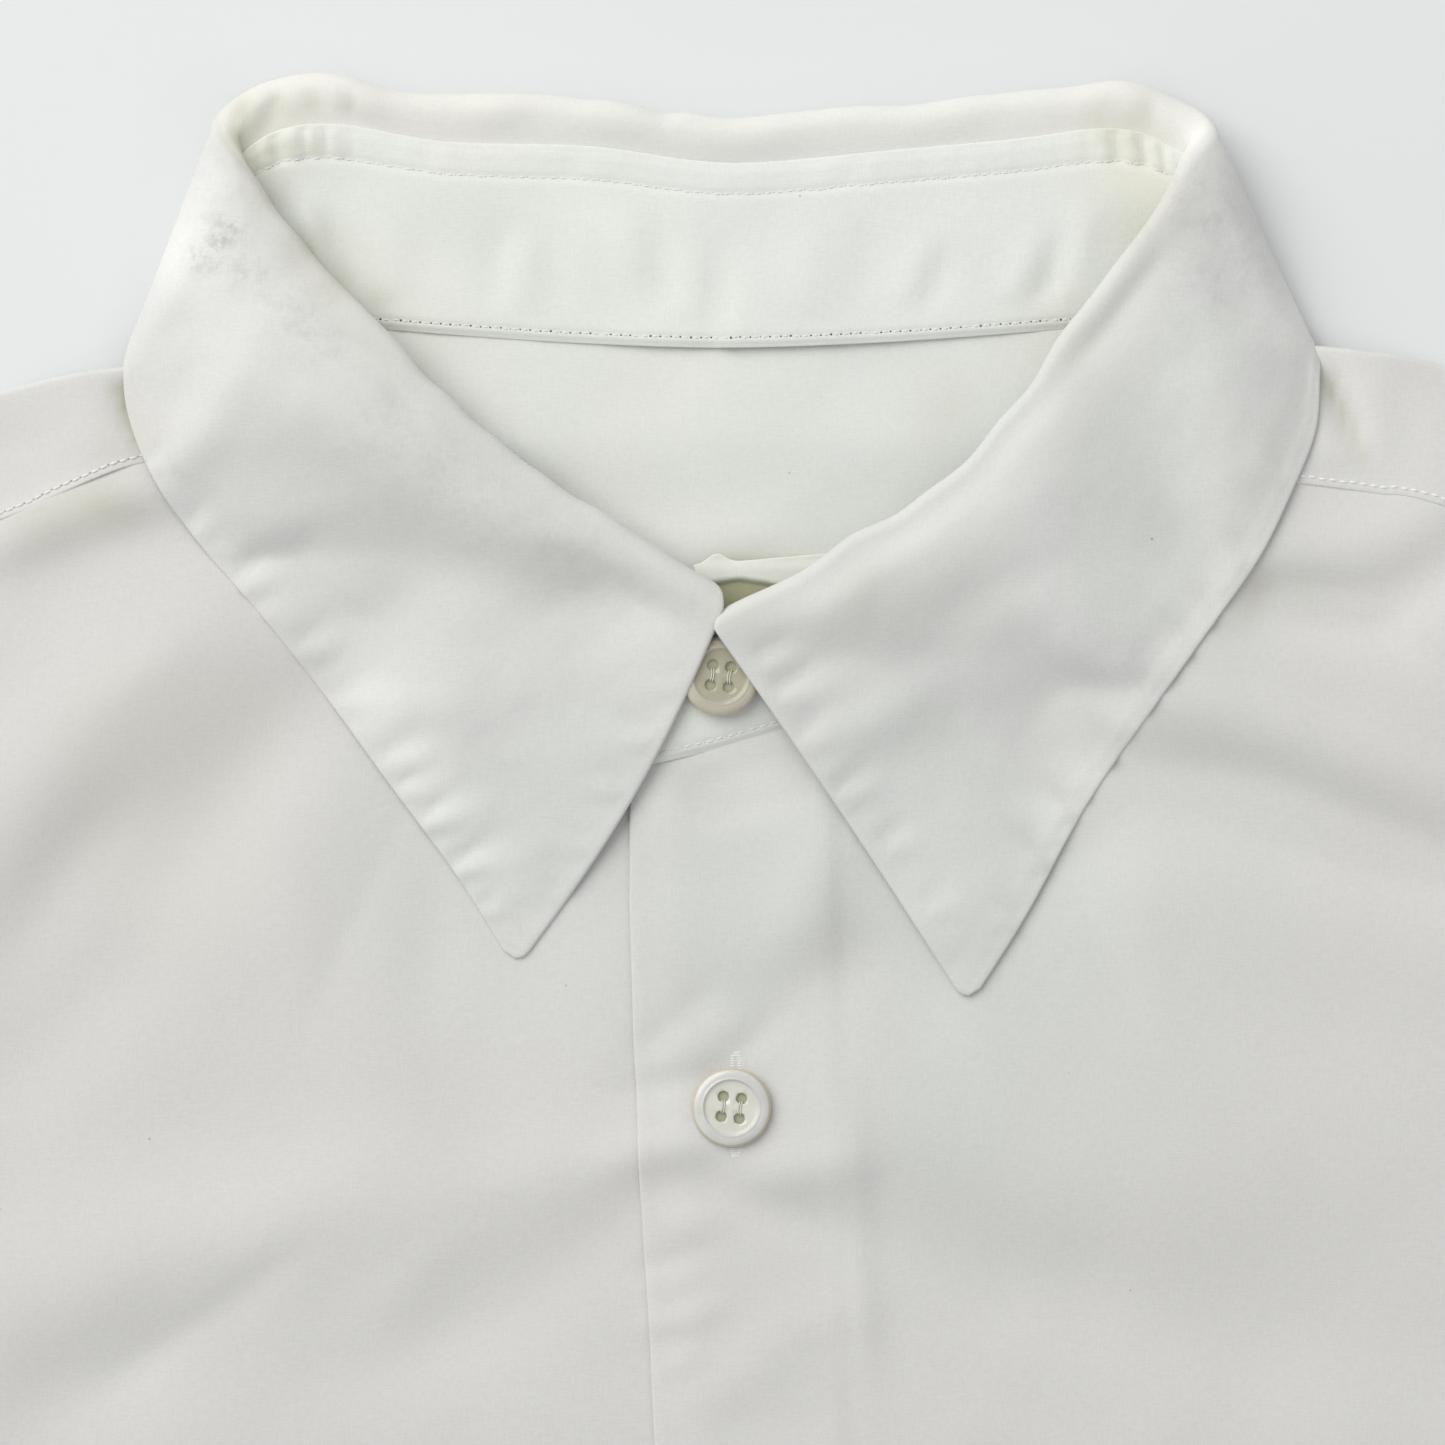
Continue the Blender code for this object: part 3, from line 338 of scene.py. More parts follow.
# Upright folds inside the stand, as in CHEST_FOLDS
STAND_FOLDS = (
    (2.4, 0.8, ((300, 190), (318, 250), (330, 300))),
    (2, -0.8, ((318, 200), (340, 262), (352, 308))),
    (3, 0.4, ((385, 200), (395, 260), (400, 315))),
    (2.6, -0.5, ((505, 215), (495, 270), (500, 325))),
    (2.2, 0.5, ((530, 225), (520, 275), (528, 325))),
    (2.6, -0.45, ((548, 215), (556, 270), (560, 320))),
    (3, 0.45, ((620, 200), (630, 250), (640, 300))),
    (2.4, -0.5, ((655, 205), (662, 262), (668, 322))),
    (2.2, 0.45, ((690, 240), (694, 290), (700, 330))),
    (2.6, -0.4, ((735, 215), (728, 270), (722, 330))),
    (3, 0.35, ((800, 205), (806, 265), (812, 325))),
    (3, -0.35, ((870, 205), (866, 260), (858, 320))),
    (2.4, 0.5, ((930, 225), (916, 275), (902, 318))),
    (2.2, -0.5, ((945, 240), (934, 285), (922, 322))),
    (2.6, 0.5, ((1040, 230), (1022, 275), (1000, 318))),
    (2.4, -0.8, ((1062, 225), (1050, 280), (1034, 318))),
    (2.6, 0.45, ((1085, 195), (1082, 240), (1075, 290))),
)
# Greyish soil: place in the picture, radius in pixels, strength
SOIL = (
    (205, 262, 16, 0.6), (236, 230, 12, 0.6), (222, 250, 14, 0.45), (215, 225, 20, 0.25),
    (250, 275, 26, 0.3), (300, 312, 34, 0.22), (330, 350, 36, 0.16), (380, 420, 50, 0.14),
    (450, 470, 50, 0.14), (500, 520, 46, 0.13), (580, 560, 46, 0.13), (650, 600, 34, 0.1),
    (160, 480, 26, 0.12), (240, 170, 40, 0.18), (1190, 200, 44, 0.22), (1235, 260, 50, 0.18),
    (1180, 300, 40, 0.12), (1100, 520, 50, 0.06), (1055, 590, 30, 0.06), (1190, 420, 50, 0.05),
    (512, 930, 22, 0.1), (700, 600, 20, 0.12), (1130, 150, 30, 0.1), (660, 130, 16, 0.12),
)
# Yellowing, and also olive painted shade in hollows: inside the stand's ends, beside the neck button, by the
# left shoulder and over the left front, as in SOIL
YELLOWING_AND_SHADE = (
    (275, 130, 46, 0.4), (1120, 150, 60, 0.4), (1150, 190, 34, 0.35), (345, 270, 40, 0.25),
    (735, 592, 40, 0.2), (700, 680, 46, 0.15), (190, 900, 150, 0.16), (120, 700, 110, 0.12),
    (150, 790, 90, 0.16), (260, 700, 70, 0.14), (650, 330, 240, 0.1), (1060, 340, 60, 0.2),
    (400, 330, 60, 0.2), (430, 110, 160, 0.12), (130, 430, 30, 0.3), (60, 480, 60, 0.12),
)
# Places in deep shade on the yoke inside the neck, as in SOIL
DEEP = (
    (738, 592, 30, 1), (760, 600, 30, 1), (710, 610, 26, 0.7), (800, 600, 30, 0.5),
    (945, 405, 40, 0.12),
)
# Shaded places of the collar's leaf and stand, as in SOIL
SHADE = (
    (244, 112, 14, 0.36), (238, 140, 13, 0.48), (281, 105, 8, 0.42), (314, 107, 10, 0.32),
    (349, 105, 8, 0.38), (255, 165, 16, 0.38), (271, 151, 8, 0.32), (293, 148, 7, 0.34),
    (316, 148, 7, 0.3), (341, 150, 8, 0.24), (268, 200, 20, 0.26), (300, 250, 20, 0.26),
    (333, 290, 18, 0.22), (326, 235, 24, 0.14), (378, 298, 14, 0.2), (1072, 300, 12, 0.12),
    (1128, 135, 26, 0.2), (1125, 228, 34, 0.15), (860, 590, 36, 0.14), (1100, 130, 16, 0.12),
)
# Shaded places of the fronts, below the yoke and beside the collar, as in SOIL
SHADE_BODY = (
    (98, 505, 24, 0.3), (60, 518, 26, 0.26), (25, 530, 26, 0.2), (130, 510, 26, 0.24),
    (1262, 578, 16, 0.2), (1255, 600, 20, 0.16), (1240, 620, 18, 0.12), (1310, 588, 34, 0.12),
)
# Places where the white leans to green, as in SOIL: a colour cast of the light painted on the brighter parts
TINT = (
    (560, 330, 170, 0.9), (760, 330, 200, 1), (940, 330, 120, 0.9), (735, 880, 100, 0.9),
    (735, 1010, 90, 0.5), (500, 840, 110, 1), (590, 740, 70, 0.8), (960, 880, 120, 1),
    (900, 760, 90, 0.9), (1125, 590, 90, 0.9), (1140, 460, 90, 0.8), (1190, 330, 60, 0.5),
    (1030, 960, 130, 0.8), (950, 1130, 100, 0.8), (1180, 830, 90, 0.4), (1230, 350, 60, 0.4),
)
# Places that are paler than the rest, on the wings and on the rest of the shirt, as in SOIL. They were set
# where the render was darker than the picture, so they hold some of its light as well.
# This paleness is painted light: it stands for light falling on these places, and along the wings' edges for
# painted highlights on the puckers.
PALE_WING = (
    (220, 225, 60, 0.6), (235, 320, 60, 0.3), (320, 320, 50, 0.5), (225, 405, 50, 0.15),
    (180, 260, 40, 0.5), (1125, 315, 50, 0.1), (1215, 320, 50, 0.2), (1215, 405, 60, 0.5),
    (1215, 495, 60, 0.6), (1205, 585, 55, 0.6), (1130, 590, 50, 0.3), (1215, 138, 40, 0.6),
    (1292, 318, 36, 0.6), (1255, 250, 40, 0.2), (265, 580, 26, 0.2), (325, 645, 26, 0.2),
    (370, 700, 28, 0.3), (415, 765, 34, 0.35), (455, 815, 28, 0.25), (490, 868, 28, 0.25),
    (405, 720, 50, 0.25), (1204, 624, 18, 0.45), (1160, 656, 20, 0.3), (1178, 656, 18, 0.35),
    (1118, 710, 22, 0.45), (1140, 712, 20, 0.45), (1075, 770, 22, 0.45), (1100, 768, 20, 0.45),
    (1045, 820, 20, 0.4), (1064, 820, 18, 0.35), (1262, 470, 22, 0.35), (1245, 515, 22, 0.35),
    (1228, 572, 24, 0.3), (1020, 870, 18, 0.3),
)
PALE_BODY = (
    (1305, 325, 45, 0.7), (1395, 405, 60, 0.5), (1305, 495, 60, 0.15), (1395, 495, 60, 0.45),
    (765, 675, 36, 0.5), (765, 765, 50, 0.45), (690, 720, 34, 0.7), (640, 790, 30, 0.6),
)
# Small upright folds in the strip of the leaf above the stand, as in CHEST_FOLDS
STRIP_FOLDS = (
    (1.4, 0.6, ((262, 95), (256, 118), (250, 140))),
    (1.3, -0.7, ((280, 92), (276, 115), (272, 138))),
    (1.6, 0.6, ((296, 92), (290, 112), (284, 136))),
    (1.6, -0.65, ((318, 92), (316, 112), (312, 132))),
    (1.6, 0.55, ((336, 92), (334, 110), (330, 130))),
    (1.2, -0.7, ((352, 92), (348, 108), (342, 124))),
    (1.8, 0.3, ((366, 92), (364, 112), (360, 130))),
    (2.4, -0.6, ((1102, 95), (1112, 118), (1120, 142))),
    (1.6, 0.4, ((1128, 95), (1134, 120), (1140, 146))),
    (1.4, -0.4, ((1150, 98), (1152, 120), (1154, 148))),
    (2, 0.25, ((1080, 95), (1084, 115), (1088, 135))),
    (2.4, 0.2, ((560, 100), (556, 122), (552, 142))),
    (2, -0.22, ((900, 110), (904, 128), (908, 146))),
)


def pic(points):
    """Places in the picture as millimetres."""
    points = np.asarray(points, float)
    return np.stack([(points[..., 0] - MIDDLE) * PIXEL, (MIDDLE - points[..., 1]) * PIXEL], axis=-1)


def smooth(a, b, x):
    """0 at a and before, 1 at b and beyond, with a soft change between them."""
    t = np.clip((np.asarray(x, float) - a) / (b - a), 0.0, 1.0)
    return t * t * (3.0 - 2.0 * t)


def through(rows, at):
    """Rows of numbers joined by a smooth curve and read at places counted in rows from 0."""
    rows = np.asarray(rows, float)
    at = np.asarray(at, float)
    slope = np.gradient(rows, axis=0)
    k = np.clip(at.astype(int), 0, len(rows) - 2)
    t = (at - k)[:, None]
    p, q, m, n = rows[k], rows[k + 1], slope[k], slope[k + 1]
    return p + t * m + t * t * (3 * (q - p) - 2 * m - n) + t**3 * (2 * (p - q) + m + n)


def distances(line):
    """Distance of each point of a line from its first one, measured along it."""
    return np.concatenate([[0], np.cumsum(np.linalg.norm(np.diff(line, axis=0), axis=1))])


def read_line(line, run, at):
    """Points of a line at places between its own, which lie at the places run."""
    return np.stack([np.interp(at, run, line[:, k]) for k in range(line.shape[1])], axis=-1)


def resample(line, count):
    """Count + 1 points at even distances along a line of points."""
    run = distances(line)
    return read_line(line, run, np.linspace(0, run[-1], count + 1))


def along(points, count):
    """Count + 1 points at even distances on the smooth curve through the given ones."""
    points = np.asarray(points, float)
    return resample(through(points, np.linspace(0, len(points) - 1, 24 * len(points))), count)


def height_on(points, x):
    """Y of a line given as (x, y) points."""
    fine = along(points, 200)
    return np.interp(x, fine[:, 0], fine[:, 1])


def unit(vectors):
    """Vectors brought to length 1."""
    return vectors / np.maximum(np.linalg.norm(vectors, axis=-1, keepdims=True), 1e-12)


def coons(top, bottom, left, right):
    """A grid of plan points between four edges that meet at their corners."""
    v = np.linspace(0, 1, len(left))[:, None, None]
    u = np.linspace(0, 1, len(top))[None, :, None]

    def across(first, last):
        return (1 - u) * first + u * last

    corners = (1 - v) * across(top[0], top[-1]) + v * across(bottom[0], bottom[-1])
    return (1 - v) * top[None] + v * bottom[None] + across(left[:, None], right[:, None]) - corners


def uneven(x, y, size, seed):
    """Smooth, repeatable unevenness of about unit height, with bumps of the given size."""
    draw = np.random.RandomState(seed)
    waves = 16
    total = np.zeros(np.broadcast(x, y).shape)
    for _ in range(waves):
        angle, length = draw.uniform(0, math.tau), size * draw.uniform(0.7, 1.9)
        phase = draw.uniform(0, math.tau)
        total += np.sin((x * math.cos(angle) + y * math.sin(angle)) * math.tau / length + phase)
    return total / math.sqrt(waves / 2)


def stroke(x, y, line, wide, high, fade):
    """Height of one soft fold that follows a line of points and fades towards both ends."""
    line = np.asarray(line, float)
    count = max(8, int(distances(line)[-1] / (0.8 * wide)))
    points = along(line, count)
    share = np.arange(count + 1) / count
    weight = high * smooth(0, fade, share) * smooth(1, 1 - fade, share)
    weight *= distances(points)[-1] / count / (math.sqrt(math.pi) * wide)
    total = np.zeros(x.shape)
    low, top = points.min(axis=0) - 3.0 * wide, points.max(axis=0) + 3.0 * wide
    near = (x > low[0]) & (x < top[0]) & (y > low[1]) & (y < top[1])
    px, py, here = x[near], y[near], np.zeros(int(near.sum()))
    for (a, b), w in zip(points, weight):
        if w:
            here += w * np.exp(-((px - a) ** 2 + (py - b) ** 2) / wide**2)
    total[near] = here
    return total


def strokes(x, y, table, picture=True, fade=0.3):
    """Height of all folds of a table, whose places are in the picture or in millimetres."""
    total = np.zeros(x.shape)
    for wide, high, line in table:
        total += stroke(x, y, pic(line) if picture else line, wide, high, fade)
    return total


def puckers(x, y, table):
    """Small creases that run in from a stitched edge: a ridge with a dent on each side of it."""
    total = np.zeros(x.shape)
    for u, v, angle, long, strength in table:
        start = pic((u, v))
        c, s = math.cos(math.radians(angle)), math.sin(math.radians(angle))
        a = (x - start[0]) * c + (y - start[1]) * s
        b = (y - start[1]) * c - (x - start[0]) * s
        b = b if c > 0 else -b
        run = smooth(-2.0, 0.0, a) * np.exp(-np.clip(a, 0, None) ** 2 / (0.55 * long) ** 2)
        wide = 1.15 + 0.12 * np.clip(a, 0, 8)
        for high, place, width in ((0.30, 0.0, 1.0), (-0.34, 2.1, 1.1), (-0.12, -2.1, 1.3)):
            total += strength * run * high * np.exp(-(((b - place * wide) / (width * wide)) ** 2))
    return total


def marks(x, y, table):
    """Strength of soft marks at each point, for soil and yellowing and also for painted light and shade."""
    total = np.zeros(x.shape)
    for u, v, radius, strength in table:
        place = pic((u, v))
        total += strength * np.exp(-((x - place[0]) ** 2 + (y - place[1]) ** 2) / (radius * PIXEL) ** 2)
    return np.clip(total, 0, 1)


def softly_above(height, floor, soft):
    """A height that bends away from a floor instead of going through it."""
    gap = height - floor
    return floor + 0.5 * (gap + np.sqrt(gap * gap + soft * soft))


def over_leaf(x, y):
    """1 where the yoke lies on the hidden part of the collar leaf, 0 away from it."""
    return smooth(125, 107, np.abs(x)) * smooth(34, 50, y)


def lower_height(x, y):
    """Middle of the yoke below the fronts."""
    return CLOTH / 2 + 1.7 * over_leaf(x, y)


def side_line(y):
    """Distance of the body's outer edge from its middle: the armhole, then the side seam."""
    return np.interp(y, [-610, -200, -100, 30], [268, 256, 216, 222])


def facing_line(y):
    """X of the inner edge of the button band's fold."""
    return FACING_X + 0.02 * (-y - 15)


def fold_height(x, y):
    """The folds of the fronts, which fade out at the seams and, below the picture, at the button band."""
    seen = strokes(x, y, CHEST_FOLDS)
    inward = side_line(y) - np.abs(x)
    rest = strokes(x, y, BODY_FOLDS, picture=False) * smooth(22, 44, np.abs(x)) * smooth(44, 14, y)
    edge = smooth(0, 14, inward) * smooth(-664, -640, y)
    calm = 1 - 0.65 * smooth(150, 120, np.abs(x)) * smooth(-150, -120, y)
    small = (0.22 * uneven(x, y, 34, 5) + 0.07 * uneven(x, y, 13, 6)) * calm
    small = small * smooth(46, 30, y) * (0.35 + 0.65 * smooth(20, 50, np.abs(x)))
    return seen + (rest * smooth(0, 34, inward) + small) * edge


def upper_height(x, y):
    """Middle of the front that lies underneath at the button band."""
    down = smooth(9, 0, side_line(y) - np.abs(x)) * smooth(-190, -215, y) + 0.9 * smooth(-655, -668, y)
    clear = smooth(-175, -115, y) * smooth(56, 10, y) * smooth(205, 150, np.abs(x))
    clear = clear * np.maximum(smooth(50, 75, np.abs(x)), smooth(-6, -60, y))
    folds = softly_above(fold_height(x, y), -0.75 - 2.6 * clear, 0.35)
    return lower_height(x, y) + LAYER + 2.6 * clear + folds - 0.62 * np.clip(down, 0, 1)


def cloth_top(x, y):
    """Middle of the uppermost front, where the collar's wings lie."""
    line = band_line(y)
    under = upper_height(x, y)
    return under + (front_over_height(x, y) - under) * smooth(line - 7, line + 2, x)


def band_line(y):
    """X of the button band's outer edge, which drifts to the wearer's left lower down in the picture."""
    down, drift = [30, 56, 66, 78, 92, 104, 123, 210], [0.0, 0.6, 1.2, 1.9, 2.6, 3.2, 4.4, 0.0]
    return OVERLAP_EDGE + np.interp(-y, down, drift)


def front_over_height(x, y):
    """Middle of the front that lies on top, which comes down to the other one at its edge."""
    edge = smooth(9, 0, x - band_line(y))
    step = 0.22 * smooth(1.0, -1.0, x - facing_line(y))
    return upper_height(x, y) + LAYER * smooth(70, 24, x) - 0.75 * edge + step * smooth(30, 40, -y + 36)


def armhole_x(y):
    """Distance of the armhole seam from the middle."""
    line = along(ARMHOLE, 300)
    return np.interp(-np.asarray(y, float), -line[:, 1], line[:, 0])


def side_edge(start_y, upper, below, sign):
    """Armhole seam from a height down to the underarm, then the side seam down to the hem."""
    ys = np.linspace(start_y, UNDERARM[1], upper + 1)
    arm = np.stack([armhole_x(ys), ys], axis=1)
    side = along((UNDERARM, (256.0, -300.0), (256.0, -400.0), (261.0, -510.0), HEM_SIDE), below)
    return np.concatenate([arm, side[1:]]) * [sign, 1]


def with_height(plan, height):
    """A grid of plan points with a height for each or for all."""
    return np.dstack([plan, np.broadcast_to(height, plan.shape[:2])])


def normals(grid):
    """Upward normals of a grid of points."""
    return unit(np.cross(np.gradient(grid, axis=1), np.gradient(grid, axis=0)))


# Cloth skins


def finish_mesh(name, points, faces, looks, groups=None):
    """An object from points in millimetres and faces of three or four corners."""
    mesh = bpy.data.meshes.new(name)
    points = (np.asarray(points, float) - [0, CENTRE_Y, 0]) * MM
    mesh.from_pydata(points.tolist(), [], faces if isinstance(faces, list) else faces.tolist())
    for look in looks:
        mesh.materials.append(look)
    if groups is not None:
        mesh.polygons.foreach_set("material_index", np.asarray(groups, np.int32))
    mesh.polygons.foreach_set("use_smooth", np.ones(len(mesh.polygons), bool))
    mesh.update()
    piece = bpy.data.objects.new(name, mesh)
    bpy.context.scene.collection.objects.link(piece)
    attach(piece, "root")
    return piece


def yellowing_and_painted_light(grid, inside=0.0, warmer=0.0):
    """Yellowing with some painted shade, and a green tint painted as a colour cast of the light, at each
    point of a grid.
    """
    x, y = grid[..., 0], grid[..., 1]
    return dict(warm=np.clip(marks(x, y, YELLOWING_AND_SHADE) + warmer, 0, 1),
                tint=np.clip(marks(x, y, TINT) + inside, 0, 1))


def skin(node, slot, grid, thick, look, wrap=False, keep=None, **spots):
    """A node's closed skin of cloth with rounded edges, round a grid of its middle surface."""
    rows, columns = grid.shape[:2]
    index = np.arange(rows * columns).reshape(rows, columns)
    if wrap:
        index = np.concatenate([index, index[:, :1]], axis=1)
    quads = np.stack([index[:-1, :-1], index[:-1, 1:], index[1:, 1:], index[1:, :-1]], axis=-1)
    quads = quads.reshape(-1, 4) if keep is None else quads[keep]
    used, quads = np.unique(quads, return_inverse=True)
    quads = quads.reshape(-1, 4)
    middle = grid.reshape(-1, 3)[used]
    half = np.broadcast_to(thick, (rows, columns)).reshape(-1)[used] / 2
    count = len(middle)
    corners = middle[quads]
    spread = np.cross(corners[:, 2] - corners[:, 0], corners[:, 3] - corners[:, 1])
    normal = np.zeros_like(middle)
    for k in range(4):
        np.add.at(normal, quads[:, k], spread)
    normal = unit(normal)
    edges = np.concatenate([quads[:, [k, (k + 1) % 4]] for k in range(4)])
    code = edges.min(axis=1) * count + edges.max(axis=1)
    _, first, times = np.unique(code, return_index=True, return_counts=True)
    a, b = border = edges[first[times == 1]].T
    outward = unit(np.cross(middle[b] - middle[a], normal[a]))
    out = np.zeros_like(middle)
    for end in border:
        np.add.at(out, end, outward)
    rim = np.unique(border)
    out = unit(out[rim])
    place = np.zeros(count, int)
    place[rim] = np.arange(len(rim))
    layers = [middle + normal * half[:, None], middle - normal * half[:, None]]
    faces = [quads, quads[:, ::-1] + count]
    above = (a, b)
    start = 2 * count
    for angle in (45, 90, 135):
        s, c = math.sin(math.radians(angle)), math.cos(math.radians(angle))
        layers.append(middle[rim] + half[rim, None] * (s * out + c * normal[rim]))
        here = (start + place[a], start + place[b])
        faces.append(np.stack([above[1], above[0], here[0], here[1]], axis=1))
        above = here
        start += len(rim)
    faces.append(np.stack([above[1], above[0], a + count, b + count], axis=1))
    piece = finish_mesh(node + "_cloth", np.concatenate(layers), np.concatenate(faces), [look])
    for label, values in spots.items():
        flat = np.broadcast_to(values, (rows, columns)).reshape(-1)[used]
        made = piece.data.attributes.new(label, "FLOAT", "POINT")
        made.data.foreach_set("value", np.concatenate([flat, flat] + [flat[rim]] * 3).astype(np.float32))
    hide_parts(node)
    return piece


def circle(centre, one, two, sides=6):
    """Points round a centre, from the direction one over to the direction two."""
    angles = math.tau * np.arange(sides)[:, None] / sides
    return centre + np.cos(angles) * one + np.sin(angles) * two


def add_rings(points, faces, rings):
    """Rings of points joined by faces. A ring of one point is a tip."""
    places = []
    for ring in rings:
        places.append(range(len(points), len(points) + len(ring)))
        points.extend(ring)
    for first, second in zip(places, places[1:]):
        sides = max(len(first), len(second))
        for k in range(sides):
            m = (k + 1) % sides
            if len(first) == 1:
                faces.append((first[0], second[m], second[k]))
            elif len(second) == 1:
                faces.append((first[k], first[m], second[0]))
            else:
                faces.append((first[k], first[m], second[m], second[k]))


def stitches(name, path, up, pitch, length, radius, looks, sink=0.4, hole=0.18):
    """Thread that comes up and goes down at even steps along a path, with a dark disc of painted shade at
    each needle hole.

    Sink is the share of the thread's thickness that lies below the path, hole a needle hole's radius.
    """
    run = distances(path)
    count = max(int(run[-1] / pitch), 1)
    at = (np.arange(count) + 0.5) * run[-1] / count
    shift = np.random.RandomState(len(path)).uniform(-0.05, 0.05, (count, 2)) * pitch
    ahead = unit(read_line(path, run, at + 0.3) - read_line(path, run, at - 0.3))
    side = unit(np.cross(read_line(up + 0 * path, run, at), ahead))
    up = np.cross(ahead, side)
    centre = read_line(path, run, at + shift[:, 0]) + up * radius * (1 - 2 * sink) + side * shift[:, 1:]
    points, faces, groups = [], [], []
    for c, a, s, u in zip(centre, ahead, side, up):
        rings = []
        for place, wide in ((-0.5, 0.0), (-0.36, 0.72), (0.0, 1.0), (0.36, 0.72), (0.5, 0.0)):
            middle = c + a * place * length - u * radius * 0.9 * abs(place * 2) ** 3
            rings.append(circle(middle, radius * wide * s, radius * wide * u) if wide else [middle])
        add_rings(points, faces, rings)
        groups += [0] * (len(faces) - len(groups))
        low = c + a * 0.5 * pitch - u * radius * 0.25
        add_rings(points, faces, ([low + u * 0.05], circle(low, hole * s, hole * a), [low - u * 0.1]))
        groups += [1] * (len(faces) - len(groups))
    piece = finish_mesh(name, points, faces, looks, groups)
    return piece


# Materials


class Look:
    """A material with its Principled shader, and short calls to add nodes to it."""

    def __init__(self, name):
        self.material = bpy.data.materials.new(name)
        self.material.use_nodes = True
        self.tree = self.material.node_tree
        self.shader = self.tree.nodes["Principled BSDF"]
        self.place = self.add("ShaderNodeTexCoord").outputs["Object"]

    def add(self, kind, settings=(), **inputs):
        node = self.tree.nodes.new(kind)
        for key, value in dict(settings).items():
            setattr(node, key, value)
        for key, value in inputs.items():
            numbered = key[0] == "i" and key[1:].isdigit()
            self.put(node.inputs[int(key[1:]) if numbered else key.replace("_", " ")], value)
        return node

    def put(self, socket, value):
        if isinstance(value, bpy.types.NodeSocket):
            self.tree.links.new(value, socket)
        else:
            socket.default_value = value

    def set(self, **values):
        for key, value in values.items():
            self.put(self.shader.inputs[key.replace("_", " ")], value)

    def noise(self, scale, detail=2.0, stretch=(1, 1, 1), turn=0.0, rough=0.5):
        where = self.add("ShaderNodeMapping", i0=self.place, Scale=stretch, Rotation=(0, 0, turn)).outputs[0]
        made = self.add("ShaderNodeTexNoise", Vector=where, Scale=scale, Detail=detail, Roughness=rough)
        return made.outputs[0]

    def math(self, operation, a, b):
        return self.add("ShaderNodeMath", {"operation": operation}, i0=a, i1=b).outputs[0]

    def range(self, value, low, high, to_low=0.0, to_high=1.0):
        node = self.add("ShaderNodeMapRange", i0=value, i1=low, i2=high, i3=to_low, i4=to_high)
        return node.outputs[0]

    def mix(self, factor, a, b, blend="MIX"):
        node = self.add("ShaderNodeMix", {"data_type": "RGBA", "blend_type": blend})
        self.put(node.inputs[0], factor)
        self.put(node.inputs[6], a)
        self.put(node.inputs[7], b)
        return node.outputs[2]

    def attribute(self, name):
        return self.add("ShaderNodeAttribute", {"attribute_name": name}).outputs["Fac"]

    def bump(self, height, distance):
        made = self.add("ShaderNodeBump", Strength=1.0, Distance=distance, Height=height)
        self.set(Normal=made.outputs[0])


def tone(colour, factor=1.0):
    """A colour made lighter or darker, with its alpha."""
    return (*[c * factor for c in colour], 1)


def cloth_look(name, colour, turn=0.0, grain=1.0, specks=True):
    """White poplin: fine crossed threads, faint patches and specks of lint.

    Soil, yellowing mixed with painted shade, a green tint painted as a colour cast of the light, painted
    shade and paler places of painted light come from the mesh's attributes.
    """
    look = Look(name)
    warp = look.noise(1.0, 1.0, (700, 4200, 900), turn)
    weft = look.noise(1.0, 1.0, (4200, 700, 900), turn)
    threads = look.math("ADD", warp, weft)
    patches = look.noise(26, 3.0, rough=0.6)
    shade = look.mix(look.range(patches, 0.35, 0.7), tone(colour), tone(colour, 0.975))

    def times(colour_now, factor):
        return look.mix(1.0, colour_now, factor, "MULTIPLY")

    # A green cast of the light, painted where the tint attribute is set
    green = look.mix(look.range(patches, 0.3, 0.7, 0.7, 1.0), (1, 1, 1, 1), (0.962, 1.0, 0.978, 1))
    shade = look.mix(look.attribute("tint"), shade, times(shade, green))
    shade = look.mix(look.range(threads, 0.8, 1.15), times(shade, (0.955, 0.955, 0.95, 1)), shade)
    blotch = look.range(look.noise(330, 6.0, rough=0.75), 0.46, 0.64, 0.06, 1.0)
    shade = look.mix(look.math("MULTIPLY", look.attribute("soil"), blotch), shade, (0.36, 0.37, 0.37, 1))
    yellow = (colour[0] * 0.98, colour[1] * 0.965, colour[2] * 0.84, 1)
    shade = look.mix(look.attribute("warm"), shade, yellow)
    # Painted shade where the deep attribute is set, then painted light where the pale one is set
    shade = look.mix(look.attribute("deep"), shade, (0.40, 0.40, 0.26, 1))
    shade = look.mix(look.attribute("pale"), shade, times(shade, (1.22, 1.22, 1.215, 1)))
    if specks:
        cells = look.add("ShaderNodeTexVoronoi", Vector=look.place, Scale=75.0)
        dots = look.range(cells.outputs["Distance"], 0.008, 0.022, 1.0, 0.0)
        few = look.math("MULTIPLY", dots, look.range(look.noise(40, 1.0), 0.52, 0.60))
        shade = look.mix(look.math("MULTIPLY", few, 0.75), shade, (0.25, 0.26, 0.27, 1))
    look.set(Base_Color=shade, Roughness=look.range(patches, 0.3, 0.7, 0.78, 0.88), Sheen_Weight=0.1,
             Sheen_Roughness=0.5, Specular_IOR_Level=0.25)
    fuzz = look.math("ADD", threads, look.math("MULTIPLY", look.noise(900, 3.0), 0.6))
    look.bump(fuzz, 0.00003 * grain)
    return look.material


def thread_look(name, colour):
    """Twisted cotton thread, also used for the painted shade in a needle hole."""
    look = Look(name)
    twist = look.noise(1.0, 2.0, (2600, 2600, 900))
    look.set(Base_Color=look.mix(twist, tone(colour), tone(colour, 0.88)), Roughness=0.7,
             Specular_IOR_Level=0.3)
    look.bump(twist, 0.00005)
    return look.material


